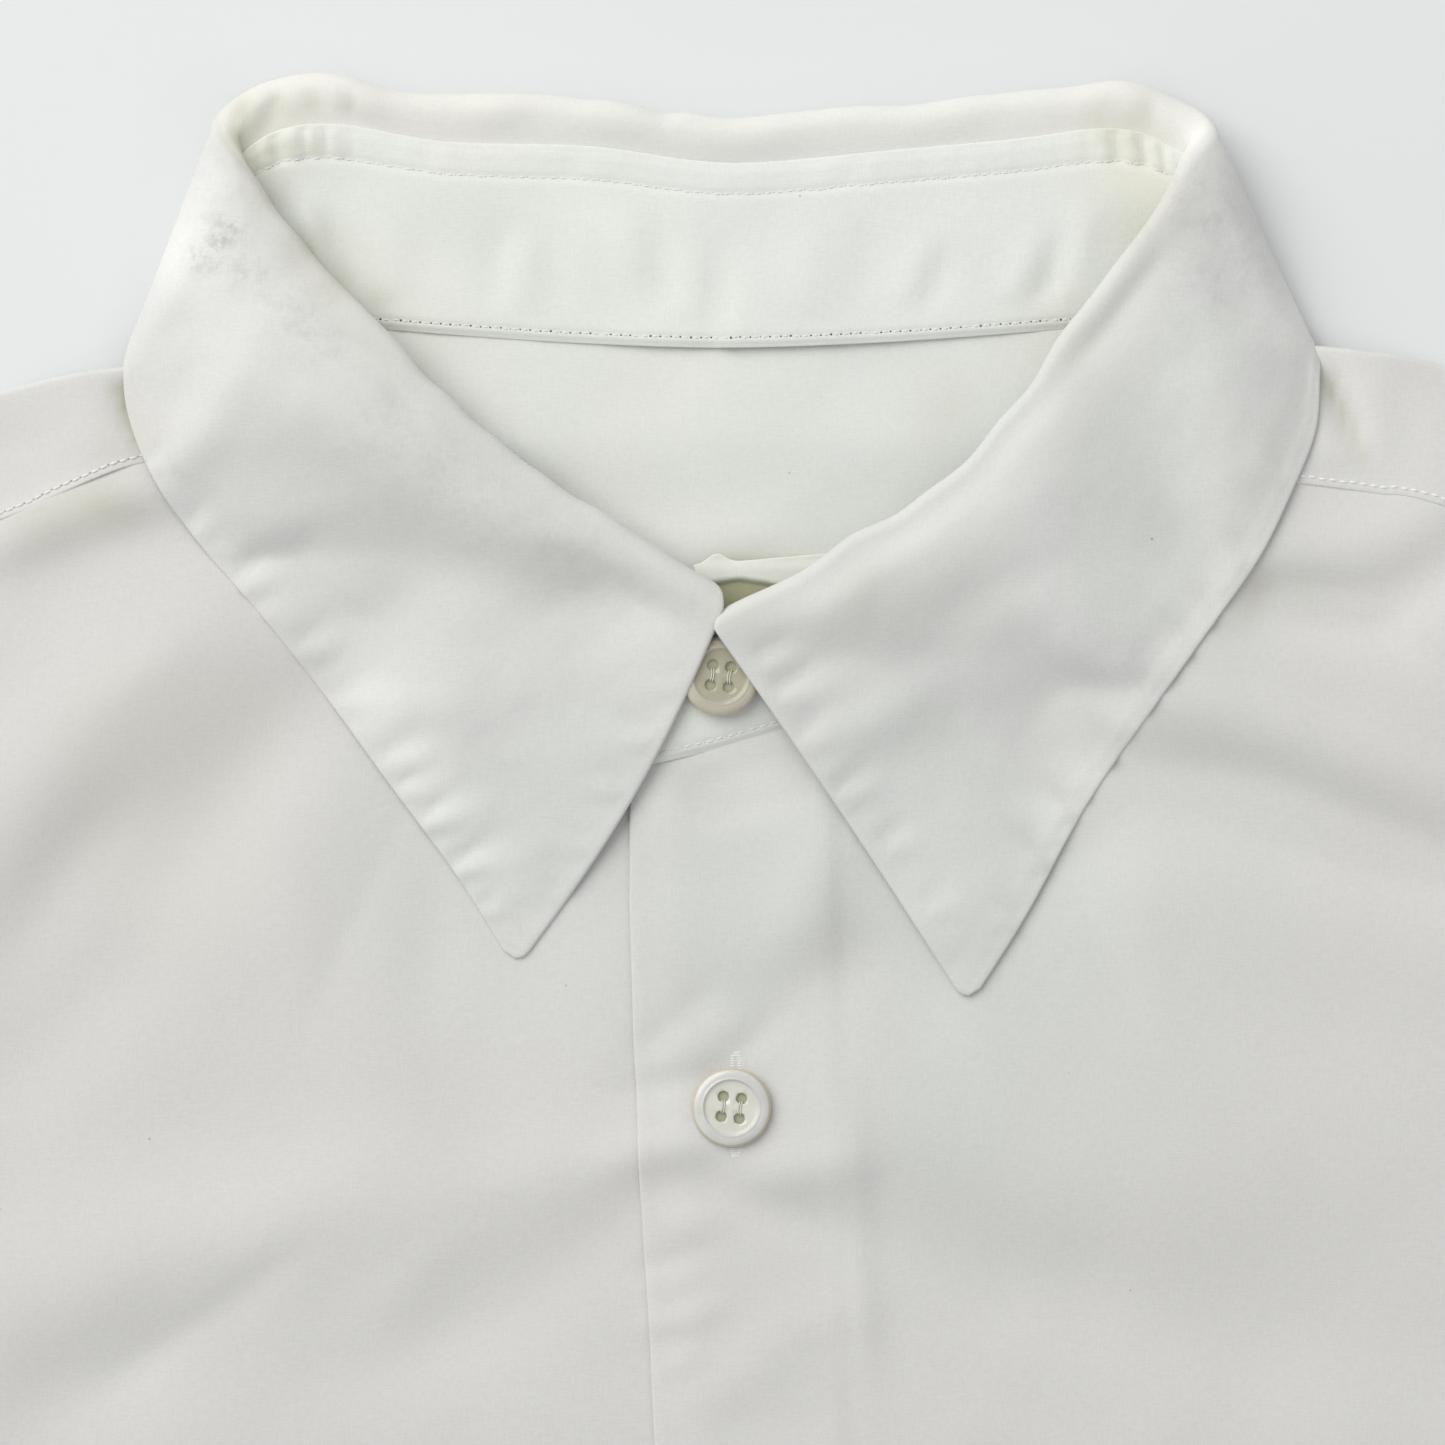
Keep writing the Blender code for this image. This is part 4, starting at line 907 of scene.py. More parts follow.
def pearl_look(name, colour):
    """Cream mother-of-pearl: cloudy bands under a polished face."""
    look = Look(name)
    warped = look.noise(170, 4.0, (1, 1.6, 1), 0.5, 0.6)
    bands = look.noise(420, 2.0, (1, 0.35, 1), 0.3)
    shade = look.mix(look.range(warped, 0.35, 0.65), tone(colour), tone(colour, 0.9))
    shade = look.mix(look.range(bands, 0.5, 0.75, 0.0, 0.5), shade, tone(colour, 1.07))
    look.set(Base_Color=shade, Roughness=look.range(warped, 0.3, 0.7, 0.16, 0.3), Coat_Weight=0.35,
             Coat_Roughness=0.08)
    look.bump(bands, 0.00004)
    return look.material


WHITE = (0.69, 0.683, 0.662)
SHIRT = cloth_look("shirt_poplin", WHITE)
SLEEVE_LOOKS = {-1: cloth_look("sleeve_poplin_right", WHITE, 0.7),
                1: cloth_look("sleeve_poplin_left", WHITE, -0.7)}
COLLAR_LOOK = cloth_look("collar_poplin", (0.705, 0.70, 0.68), 0.3)
TAPE = cloth_look("label_tape", (0.80, 0.80, 0.76), 0.09, 0.7, specks=False)
THREAD = thread_look("white_thread", (0.84, 0.84, 0.81))
# A lighter copy of the same white thread, for the stitches of one shoulder: painted light.
LIT_COPY_THREAD = thread_look("lit_copy_thread", (0.92, 0.92, 0.90))
# The needle holes are small dark discs, those at the back neck darker still: painted shade in the holes.
HOLES = thread_look("needle_holes", (0.42, 0.41, 0.36))
DARK_HOLES = thread_look("dark_needle_holes", (0.16, 0.16, 0.10))
BUTTON_THREAD = thread_look("button_thread", (0.70, 0.70, 0.62))
PEARL = pearl_look("button_pearl_look", (0.69, 0.685, 0.65))
FLANK_PEARL = pearl_look("flank_pearl_look", (0.60, 0.54, 0.41))
DISH_PEARL = pearl_look("dish_pearl_look", (0.73, 0.73, 0.645))
SHADED_PEARL = pearl_look("shaded_pearl_look", (0.56, 0.53, 0.43))
SHADED_DISH = pearl_look("shaded_dish_look", (0.46, 0.44, 0.325))
# Olive of the thread that fills a button's holes, darkened as painted shade of the holes
HOLE_THREAD_AND_SHADE = pearl_look("hole_thread_and_shade_look", (0.46, 0.45, 0.31))


# Collar


def sections(at):
    """The collar's sections at places counted in rows of the table.

    Neck seam, the stand's top edge, crest and outer edge of the leaf, the direction out from the neck,
    turn of the fall, height of the top edge and radius of the roll.
    """
    rows = through(COLLAR, at)
    neck, crest, edge = rows[:, 0:2], rows[:, 2:4], rows[:, 4:6]
    turn, top_z, roll = np.radians(rows[:, 6]), rows[:, 7], rows[:, 8]
    x = crest[:, 0]
    behind = smooth(0, -60, rows[:, 6])
    notch = -1.1 * np.exp(-(((x + 10.2) / 2.0) ** 2)) + 0.7 * np.exp(-(((x + 19.0) / 4.0) ** 2))
    notch = notch + 0.35 * uneven(x, 0 * x, 17, 21)
    notch = notch * behind + 0.22 * uneven(x, crest[:, 1], 13, 22) * (1 - behind)
    out = unit(crest - neck)
    crest = crest + out * notch[:, None]
    rise = RISE_FRONT + (RISE_BACK - RISE_FRONT) * smooth(60, -60, rows[:, 6])
    root = rows[:, 2:4] - out * rise[:, None]
    return neck, root, crest, edge, out, turn, top_z, roll


def leaf_point(at, part, share):
    """Points of the leaf's middle surface: part 0 is the strip at the stand, 1 the roll, 2 the fall."""
    _, root, crest, edge, out, turn, top_z, roll = sections(at)
    d = np.column_stack([out, np.zeros(len(out))])
    hand = np.sign(edge[:, :1])
    side = np.column_stack([out[:, 1:] * hand, -out[:, :1] * hand, np.zeros(len(out))])
    w = np.cos(turn)[:, None] * side + np.sin(turn)[:, None] * UP
    r = roll[:, None]
    begin = np.column_stack([root, top_z - STRIP_DROP]) - LEAF_START * d
    centre = np.column_stack([crest, top_z]) - r * d + r * w
    if part == 0:
        end = centre - r * w
        line = begin + (end - begin) * share
        line[:, 2] = top_z - STRIP_DROP + STRIP_DROP * smooth(0.12, 1, share)
        return line
    if part == 1:
        angle = share * math.pi
        return centre + r * (math.sin(angle) * d - math.cos(angle) * w)
    bend = centre + r * w
    above, below = smooth(0, 60, np.degrees(turn)), smooth(0, -60, np.degrees(turn))
    on_top = cloth_top(edge[:, 0], edge[:, 1]) + SHIRT_T / 2 + LEAF_T / 2 - 0.1
    on_top = on_top + 0.2 * smooth(78, 86, np.abs(edge[:, 0]))
    end_z = above * on_top + below * LEAF_UNDER + (1 - above - below) * 3.0
    sooner = 0.86 - 0.26 * smooth(2.5, 0, np.minimum(at, LAST - at))
    fall = below * smooth(0, 1, share) + (1 - below) * smooth(0, 1, share**sooner)
    plan = bend[:, :2] + (edge - bend[:, :2]) * share
    ahead = unit(edge - bend[:, :2])
    across = np.column_stack([-ahead[:, 1], ahead[:, 0]])
    for first, bow in ((at, FRONT_BOW[0]), (LAST - at, -FRONT_BOW[1])):
        plan = plan + across * (bow * math.sin(math.pi * share) * smooth(1.6, 0, first))[:, None]
    return np.column_stack([plan, bend[:, 2] + (end_z - bend[:, 2]) * fall])


def corner(distance, size):
    """How far an outline is cut back beside a corner, at a distance from it, to round it."""
    t = np.clip(1 - distance / size, 0, 1)
    return size * (1 - np.sqrt(1 - t * t))


def leaf_grid():
    """The leaf's middle surface, with rounded corners at its two points and crests."""
    ends = np.linspace(0, 2, 46)
    at = np.concatenate([ends, np.linspace(2, LAST - 2, 250)[1:-1], LAST - ends[::-1]])
    fall = np.concatenate([np.linspace(0, 0.9, 44)[:-1], np.linspace(0.9, 1, 9)])
    rows = [(0, s) for s in np.linspace(0, 1, 5)[:-1]]
    rows += [(1, s) for s in np.linspace(0, 1, 13)[:-1]] + [(2, s) for s in fall]
    crests, edges = (np.array([row[k:k + 2] for row in COLLAR]) for k in (2, 4))
    front = np.linalg.norm(edges[[0, -1]] - crests[[0, -1]], axis=1)
    step = np.linalg.norm(edges[[0, -1]] - edges[[1, -2]], axis=1)
    top_step = np.array([15.0, 15.5])
    crest_size, tip_size = np.array([2.8, 2.6]), 3.4
    fade = 34
    decay = (1 - np.arange(fade) / fade) ** 2
    grid = []
    for part, share in rows:
        reach = 0.0
        if part == 2:
            reach = share * front + 2.0
        elif part == 1 and share > 0.5:
            reach = 2.0 * (1 - math.sin(share * math.pi))
        cut = corner(reach, crest_size) / top_step
        if part == 2:
            cut = cut + corner((1 - share) * front, tip_size) / step
        place = at.copy()
        place[:fade] += cut[0] * decay
        place[-fade:] -= cut[1] * decay[::-1]
        grid.append(leaf_point(place, part, share))
    return np.array(grid), np.array([p for p, _ in rows]), np.array([s for _, s in rows]), at


def stand_foot(neck):
    """Middle of the stand's lower edge, which lies on the fronts and, behind them, on the yoke."""
    x, y = neck[:, 0], neck[:, 1]
    half = len(neck) // 2
    front = np.concatenate([upper_height(x[:half], y[:half]), front_over_height(x[half:], y[half:])])
    back = lower_height(x, y)
    return front + (back - front) * smooth(60, 68, y) + SHIRT_T / 2 + STAND_T / 2 - 0.05


def stand_top(grid, at):
    """Height of the stand's upper side below each point of the leaf, falling away past its lower edge."""
    neck, root, _, _, _, _, top_z, _ = sections(at)
    low = stand_foot(neck)
    span = root - neck
    share = ((grid[..., :2] - neck) * span).sum(axis=2) / (span * span).sum(axis=1)
    return low + (top_z - low) * np.clip(share, 0, 1) + STAND_T / 2 + 10.0 * np.minimum(share, 0)


def dressed_leaf():
    """The leaf with its folds, puckers and soft unevenness, and its thickness."""
    grid, part, share, at = leaf_grid()
    x, y = grid[..., 0], grid[..., 1]
    border = np.where(part == 2, (1 - share) * LEAF_WIDTH, 99)[:, None]  # distance to the outer edge
    fall = ((part == 2) * smooth(0.0, 0.10, share))[:, None]
    turned = smooth(20, 70, np.degrees(sections(at)[5]))
    front = smooth(100, 90, y) * fall * turned
    ends = np.minimum(np.arange(len(at)), np.arange(len(at))[::-1])
    near_edge = np.exp(-((border / 16.0) ** 2)) * fall
    edge_creases = puckers(x, y, WING_PUCKERS) * front * smooth(0, 1, np.clip(near_edge + (ends < 60), 0, 1))
    detail = strokes(x, y, WING_FOLDS) + 0.06 * uneven(x, y, 26, 31) + 0.05 * uneven(x, y, 11, 32)
    detail = (detail + 0.02 * uneven(x, y, 5.5, 35)) * front
    strip = (part == 1) * (share < 0.55) + (part == 0) * smooth(0.45, 1, share)
    strip = strip[:, None] * (y > 88)
    detail = detail + strip * (0.20 * uneven(x, 0.4 * y, 12, 33) + strokes(x, y, STRIP_FOLDS, fade=0.2))
    arch = np.sin(math.pi * np.where(part == 2, share, 0.0))[:, None] * turned * smooth(0, 50, ends)
    height = grid[..., 2] + detail + WING_ARCH * arch
    floor = np.maximum(cloth_top(x, y) + SHIRT_T / 2, stand_top(grid, at)) + LEAF_T / 2 - 0.25
    height = height + (softly_above(height, floor, 0.2) - height) * front
    height = height - 0.6 * np.clip(height - floor - 0.4, 0, 3) * smooth(11, 0, border) * front
    grid[..., 2] = height + np.maximum(edge_creases, -0.7 + 0.5 * smooth(6, 0, border))
    seam = 0.07 * np.exp(-(((border - 4.5) / 1.2) ** 2))
    return grid, LEAF_T * (1 - seam - 0.3 * smooth(3.0, 0.3, border))


def stand_grid():
    """The stand from its seam on the neck up to the leaf, with its two buttoned ends."""
    at = np.linspace(0, LAST, 300)
    neck, root, _, _, out, _, top_z, _ = sections(at)
    rows = np.column_stack([neck, stand_foot(neck), root + out * 0.1, top_z])
    under = np.array([(x, y, a, u, v, b) for x, y, u, v, a, b in STAND_UNDER_END])
    over = np.array([(x, y, a, u, v, b) for x, y, u, v, a, b in STAND_OVER_END])
    first = through(np.concatenate([under, rows[:13:6]]), np.linspace(0, 2, END_STEPS + 1))[:-1]
    last = through(np.concatenate([rows[-13::6], over]), np.linspace(2, 4, END_STEPS + 1))[1:]
    rows = np.concatenate([first, rows, last])
    length = np.linalg.norm(rows[:, 3:5] - rows[:, 0:2], axis=1)
    fine = np.concatenate([np.linspace(-0.2, 3.1, 12), np.linspace(3.1, 22.5, 17)[1:],
                           np.linspace(22.5, STAND_WIDTH, 20)[1:]])
    grid = []
    for d in fine:
        even = d / STAND_WIDTH
        t = (even + (d / length - even) * smooth(9, 2, d))[:, None]
        grid.append(rows[:, :3] * (1 - t) + rows[:, 3:] * t)
    return np.array(grid), fine, rows


def dressed_stand():
    """The stand with its folds, ripples and seams, and the distance of each row from its lower edge."""
    grid, fine, rows = stand_grid()
    x, y = grid[..., 0], grid[..., 1]
    run = distances(rows[:, 3:5])[None] + 0 * x
    up = fine[:, None]
    visible = smooth(58, 64, y)
    wobble = uneven(run, 0 * x, 9, 41)
    ripple = np.sin(run * math.tau / 4.1 + 0.9 * wobble + 0.35 * up) * (0.6 + 0.4 * np.sin(run / 3.7))
    between = smooth(25.2, 26.8, up) * smooth(31.2, 30.0, up)
    detail = strokes(x, y, STAND_FOLDS, fade=0.35) * visible * smooth(2.5, 7, up)
    ends = 0.18 + 0.34 * np.maximum(smooth(-48, -62, x), smooth(48, 62, x))
    detail = detail + ends * ripple * between * visible - 0.34 * smooth(1.2, -0.2, up)
    detail = detail + 0.05 * np.sin(run * math.tau / 3.4 + wobble) * smooth(3.2, 1.8, up) * visible
    for seam, deep, wide in ((STAND_SEAM, 0.16, 0.5), (STAND_FOLD_SEAM, 0.20, 0.6)):
        detail = detail - deep * np.exp(-(((up - seam) / wide) ** 2))
    grid[..., 2] += detail + 0.12 * uneven(x, y, 22, 42) * visible
    return grid, fine


def row_at(grid, levels, level):
    """The line of a grid at a level between its rows, with upward normals."""
    normal = normals(grid)
    k = int(np.clip(np.searchsorted(levels, level) - 1, 0, len(levels) - 2))
    t = (level - levels[k]) / (levels[k + 1] - levels[k])
    line, up = (rows[k] * (1 - t) + rows[k + 1] * t for rows in (grid, normal))
    return line, unit(up * np.sign(up[:, 2:] + 1e-9))


leaf, leaf_thick = dressed_leaf()
leaf_x, leaf_y = leaf[..., 0], leaf[..., 1]
# The leaf's inner strip by the stand is made paler, which is painted light, and a little yellower; SHADE
# paints shade and PALE_WING light on the leaf.
inner = smooth(13.5, 8.5, np.arange(len(leaf)))[:, None] * smooth(90, 100, leaf_y)
leaf_cloth = skin("collar_leaf", "collar_cloth", leaf, leaf_thick, COLLAR_LOOK,
                  soil=marks(leaf_x, leaf_y, SOIL), deep=marks(leaf_x, leaf_y, SHADE),
                  pale=np.clip(0.62 * inner + marks(leaf_x, leaf_y, PALE_WING), 0, 1),
                  **yellowing_and_painted_light(leaf, warmer=0.10 * inner))

stand, stand_levels = dressed_stand()
stand_x, stand_y = stand[..., 0], stand[..., 1]
stand_thin = 0.44 * smooth(29.2, STAND_WIDTH, stand_levels) + 0.45 * smooth(1.2, -0.2, stand_levels)
# The stand is made paler towards the back and tinted green: painted light and a painted colour cast of the
# light. SHADE paints shade on it.
stand_cloth = skin("collar_stand", "collar_cloth", stand, (STAND_T - stand_thin)[:, None], COLLAR_LOOK,
                   soil=0.5 * marks(stand_x, stand_y, SOIL),
                   deep=marks(stand_x, stand_y, SHADE) * smooth(60, 66, stand_y),
                   pale=np.maximum(smooth(25, 55, stand_y), marks(stand_x, stand_y, PALE_BODY)),
                   **yellowing_and_painted_light(stand, 1.0))

for label, level, pitch, length, radius, hole_look, hole in (
        ("neck", STAND_SEAM, 1.7, 1.0, 0.14, DARK_HOLES, 0.22),
        ("front", STAND_SEAM, 1.9, 1.5, 0.16, HOLES, 0.1),
        ("under", STAND_SEAM, 1.9, 1.5, 0.16, HOLES, 0.1),
        ("fold", STAND_FOLD_SEAM, 1.75, 1.25, 0.12, HOLES, 0.1)):
    line, up = row_at(stand, stand_levels, level)
    last_half = np.arange(len(line)) > len(line) // 2
    keep = {
        "neck": line[:, 1] > 60,
        "front": (line[:, 1] <= 60) & last_half,
        "under": (line[:, 1] <= 60) & ~last_half,
        "fold": slice(END_STEPS, len(line) - END_STEPS),
    }[label]
    line, up = line[keep], up[keep]
    stitches("stand_stitches_" + label, line + up * STAND_T / 2, up,
                                  pitch, length, radius, [THREAD, hole_look], hole=hole)


# Yoke


def yoke_grid():
    """Back yoke, roll over both shoulders and the yoke's front ends, as one masked grid."""
    half = np.concatenate([np.linspace(0, NECK_END, 52), np.linspace(NECK_END, SHOULDER_X, 78)[1:]])
    xs = np.concatenate([-half[:0:-1], half])
    neck = np.array(sorted([r[:2] for r in COLLAR if r[1] > 66.9 or abs(r[0]) < 50 and r[1] > 60]))
    back = np.linspace(0, 1, 42) ** 0.9
    roll = np.linspace(0, math.pi, 9)[1:]
    front = np.concatenate([np.linspace(0, 0.84, 17)[1:], np.linspace(0.84, 1, 9)[1:]])
    levels = len(back) + len(roll) + len(front)
    radius = LAYER / 2
    grid = np.zeros((levels, len(xs), 3))
    for columns, shoulder, seam in ((xs < 0, SHOULDER_LEFT, YOKE_LEFT),
                                    (xs >= 0, SHOULDER_RIGHT, YOKE_RIGHT)):
        x = xs[columns]
        a = np.abs(x)
        seam = height_on(seam, a) - 0.9
        top = np.interp(x, neck[:, 0], neck[:, 1]) + 2.2
        top = np.where(a >= NECK_END, height_on(shoulder, a) - radius, top)
        path = []
        for t in back:
            y = YOKE_BACK_Y + (top - YOKE_BACK_Y) * t
            path.append((y, lower_height(x, y)))
        low = path[-1][1]
        for angle in roll:
            path.append((top + radius * math.sin(angle), low + radius - radius * math.cos(angle)))
        for t in front:
            y = top + (seam - top) * t
            blend = smooth(0.2, 0.8, t)
            path.append((y, (low + LAYER) * (1 - blend) + (upper_height(x, y) + 0.22) * blend))
        for i, (y, z) in enumerate(path):
            shift = (armhole_x(y) + 0.9 - SHOULDER_X) * smooth(110, SHOULDER_X, a)
            grid[i, columns] = np.column_stack([np.sign(x) * (a + shift), y, z])
    keep = np.ones((levels - 1, len(xs) - 1), bool)
    reach = np.maximum(np.abs(xs[:-1]), np.abs(xs[1:]))
    keep[len(back) - 1:, reach <= NECK_END + 0.001] = False
    return grid, keep, xs, len(back)


yoke, yoke_keep, yoke_xs, yoke_back_rows = yoke_grid()
yoke_x, yoke_y = yoke[..., 0], yoke[..., 1]
on_front = np.arange(len(yoke))[:, None] >= yoke_back_rows + 4
dress = strokes(yoke_x, yoke_y, SHOULDER_FOLDS) + 0.12 * uneven(yoke_x, yoke_y, 20, 51)
dress = dress * on_front * smooth(0, 10, SHOULDER_X - np.abs(yoke_x))
inside = (0.25 * uneven(yoke_x, yoke_y, 38, 52) + 0.07 * uneven(yoke_x, yoke_y, 14, 53)) * ~on_front
inside = inside * smooth(66, 52, yoke_y) * smooth(-28, -10, yoke_y) * smooth(100, 80, np.abs(yoke_x))
yoke[..., 2] += dress + np.clip(inside, -0.2, 1)
# Painted shade from DEEP inside the neck and from POCKETS beside the collar; painted light that makes the
# yoke's inside paler towards the collar and its front paler at PALE_BODY; and a green cast of the light
# painted on its inside.
yoke_painted_shade = marks(yoke_x, yoke_y, DEEP) * ~on_front + marks(yoke_x, yoke_y, POCKETS) * on_front
yoke_painted_light = np.where(on_front, marks(yoke_x, yoke_y, PALE_BODY), 0.2 + 0.55 * smooth(24, 36, yoke_y))
yoke_cloth = skin("back_yoke", "shirt_cloth", yoke, SHIRT_T, SHIRT, keep=yoke_keep,
                  soil=0.4 * marks(yoke_x, yoke_y, SOIL) * on_front, deep=yoke_painted_shade, pale=yoke_painted_light,
                  **yellowing_and_painted_light(yoke, 1.0 * ~on_front))

for label, columns, thread, hole in (("right", yoke_xs <= -NECK_END, THREAD, 0.2),
                                     ("left", yoke_xs >= NECK_END, LIT_COPY_THREAD, 0.1)):
    ends = yoke[-1, columns]
    line = ends + unit(yoke[-6, columns] - ends) * 1.1
    order = np.argsort(line[:, 0])
    line[:, 2] = np.interp(line[:, 0], line[order, 0], yoke[-3, columns][order, 2]) + SHIRT_T / 2
    stitches("yoke_stitches_" + label, line, UP, 1.75, 1.5, 0.23,
                                 [thread, HOLES], 0.45, hole)


# Fronts and back


def front_neck(sign):
    """Neck edge of a front, from the button band to the end of the yoke seam."""
    if sign < 0:
        points = [(UNDERLAP_EDGE, -1.4), (5.0, -4.0), (-4.0, -5.6)]
        points += [row[:2] for row in COLLAR[:6]]
    else:
        points = [(OVERLAP_EDGE, -7.6), (-8.0, -6.0)]
        points += [row[:2] for row in COLLAR[-6:]][::-1]
    return points


def hem(sign, edge_x, columns, middle_y):
    """Half of a curved hem, from an x at its middle out to the side seam."""
    points = [(edge_x, middle_y), (sign * 90.0, middle_y + 1.0), (sign * 180.0, middle_y + 12.0),
              (sign * 232.0, -632.0), (sign * HEM_SIDE[0], HEM_SIDE[1])]
    return along(points, columns)


def front_grid(sign):
    """Middle surface and thickness of a front, from neck and yoke seam down to the hem."""
    above, below = FRONT_ROWS
    neck = along(front_neck(sign), 78) + [0, 1.6]
    points = YOKE_LEFT if sign < 0 else YOKE_RIGHT
    seam = np.array([(sign * x, height_on(points, x)) for x in np.linspace(NECK_END, SHOULDER_X, 67)])
    side = side_edge(seam[-1][1] - GAP, above, below, sign)
    top = np.concatenate([neck, seam[1:]])
    top[-1] = side[0]
    edge_x = UNDERLAP_EDGE if sign < 0 else OVERLAP_EDGE
    bottom = hem(sign, edge_x, len(top) - 1, HEM_FRONT_Y)
    down = np.concatenate([np.linspace(0, 135, above + 1), np.linspace(135, -HEM_FRONT_Y, below + 1)[1:]])
    edge_y = top[0][1] + (HEM_FRONT_Y - top[0][1]) * down / -HEM_FRONT_Y
    plan = coons(top, bottom, np.stack([np.full(len(down), edge_x), edge_y], axis=1), side)
    x, y = plan[..., 0], plan[..., 1]
    thick = np.full(x.shape, SHIRT_T)
    if sign > 0:
        x += (band_line(y) - OVERLAP_EDGE) * smooth(30, OVERLAP_EDGE, x)
        x += 0.12 * uneven(y, 0 * y, 26, 61) * smooth(OVERLAP_EDGE + 8, OVERLAP_EDGE, x)
        thick += (BAND_T - SHIRT_T) * smooth(1.0, -1.0, x - facing_line(y))
    grid = with_height(plan, upper_height(x, y) if sign < 0 else front_over_height(x, y))
    grid[..., 2] -= 0.12 * np.exp(-(((y - HEM_SEAM_Y) / 1.4) ** 2)) * (np.abs(x) < side_line(y))
    return grid, thick + 0.3 * smooth(HEM_SEAM_Y, HEM_SEAM_Y - 1.5, y)


def back_grid():
    """Middle surface of the back panel, which lies almost flat on the table."""
    across, below = 96, 84
    left, right = (side_edge(YOKE_BACK_Y - GAP, 40, below, sign) for sign in (-1, 1))
    top = np.linspace(left[0], right[0], across + 1) + [0, 1.4]
    low = hem(1, 0.0, across // 2, HEM_BACK_Y)
    plan = coons(top, np.concatenate([(low * [-1, 1])[::-1], low[1:]]), left, right)
    x, y = plan[..., 0], plan[..., 1]
    lift = 0.35 * smooth(5, 0, side_line(y) - np.abs(x)) * smooth(-190, -215, y)
    soft = 0.12 * uneven(x, y, 60, 71)
    return with_height(plan, CLOTH / 2 - 0.25 + lift + np.clip(soft, -0.1, 1))


fronts = {}
# Each front gets painted light from PALE_BODY and painted shade from SHADE_BODY.
for label, sign in SIDES:
    grid, thick = front_grid(sign)
    x, y = grid[..., 0], grid[..., 1]
    piece = skin("front_" + label, "shirt_cloth", grid, thick, SHIRT, soil=0.3 * marks(x, y, SOIL),
                 pale=marks(x, y, PALE_BODY), deep=marks(x, y, SHADE_BODY), **yellowing_and_painted_light(grid))
    fronts[label] = (piece, grid)
back_cloth = skin("back_panel", "shirt_cloth", back_grid(), SHIRT_T, SHIRT)


# Sleeves, cuffs and their plackets


def sleeve_plan(v, t, sign):
    """Plan point of a sleeve at a share v of its length and t across it, outer fold to inner fold."""
    steps = 240
    places = np.linspace(0, 1, steps + 1)
    outer, inner = along(SLEEVE_OUTER, steps), along(SLEEVE_INNER, steps)
    arm = along(ARMHOLE, steps) + [0.2, 0.0]
    t1, v1 = np.asarray(t)[..., None], np.asarray(v)[..., None]
    start = read_line(arm, places, t) - ((1 - t1) * arm[0] + t1 * arm[-1])
    outer, inner = read_line(outer, places, v), read_line(inner, places, v)
    return ((1 - t1) * outer + t1 * inner + (1 - v1) * start) * [sign, 1]


def sleeve_fold(v, t, sign):
    """Height of the folds of a sleeve's upper layer, which fade out at all its edges."""
    a = v * SLEEVE_LENGTH
    b = t * (SLEEVE_WIDTH + (CUFF_WIDTH - SLEEVE_WIDTH) * v)
    if sign > 0:
        a = a + 6.0 * np.sin(b / 30.0)
    total = strokes(a, b, SLEEVE_FOLDS, picture=False)
    total = total + 0.35 * uneven(a, b, 40, 80 + sign) + 0.1 * uneven(a, b, 15, 84 + sign)
    gathers = 0.55 * np.sin(b * math.tau / 11.0 + 0.8 * sign) * smooth(515, 545, a)
    total = total + np.clip(gathers, -0.1, 1) * smooth(10, 20, b) * smooth(108, 96, b)
    edges = smooth(0, 0.16, t) * smooth(1, 0.84, t) * smooth(0, 0.05, v) * smooth(1, 0.985, v)
    return np.clip(total, -0.9, 99) * edges


def sleeve_grid(sign):
    """A sleeve as a flat tube, and the grid of its upper layer."""
    across, turn, length = 66, 5, 150
    low, high = 0.35, CLOTH / 2 + LAYER
    radius = (high - low) / 2
    v, t = np.meshgrid(np.linspace(0, 1, length + 1), np.linspace(0, 1, across + 1), indexing="ij")
    base = sleeve_plan(v, t, sign)
    inset = unit(base[:, -1] - base[:, 0]) * radius
    base[:, 0] += inset
    base[:, -1] -= inset
    lift = 1.3 * smooth(0.95, 1.0, v) * smooth(0, 0.1, t) * smooth(1, 0.9, t)
    upper = with_height(base, high - 0.25 * smooth(0.01, 0, v) + sleeve_fold(v, t, sign) + lift)

    def fold(edge, way):
        """Columns round a fold, way 1 for the inner one, which turns up, and -1 for the outer one."""
        return [np.column_stack([base[:, edge] + way * inset * math.sin(angle),
                                 np.full(length + 1, low + radius - way * radius * math.cos(angle))])
                for angle in np.linspace(0, math.pi, turn + 1)[1:-1]]

    columns = [*with_height(base, low).transpose(1, 0, 2), *fold(-1, 1),
               *upper[:, ::-1].transpose(1, 0, 2), *fold(0, -1)]
    return np.array(columns).transpose(1, 0, 2), upper


def cuff_frame(sign):
    """Inner corner of the cuff's seam, the direction across the cuff and the one down the arm."""
    outer, inner = (np.array(line[-1]) * [sign, 1] for line in (SLEEVE_OUTER, SLEEVE_INNER))
    across = unit(outer - inner)
    return inner, across, np.array([across[1], -across[0]]) * sign


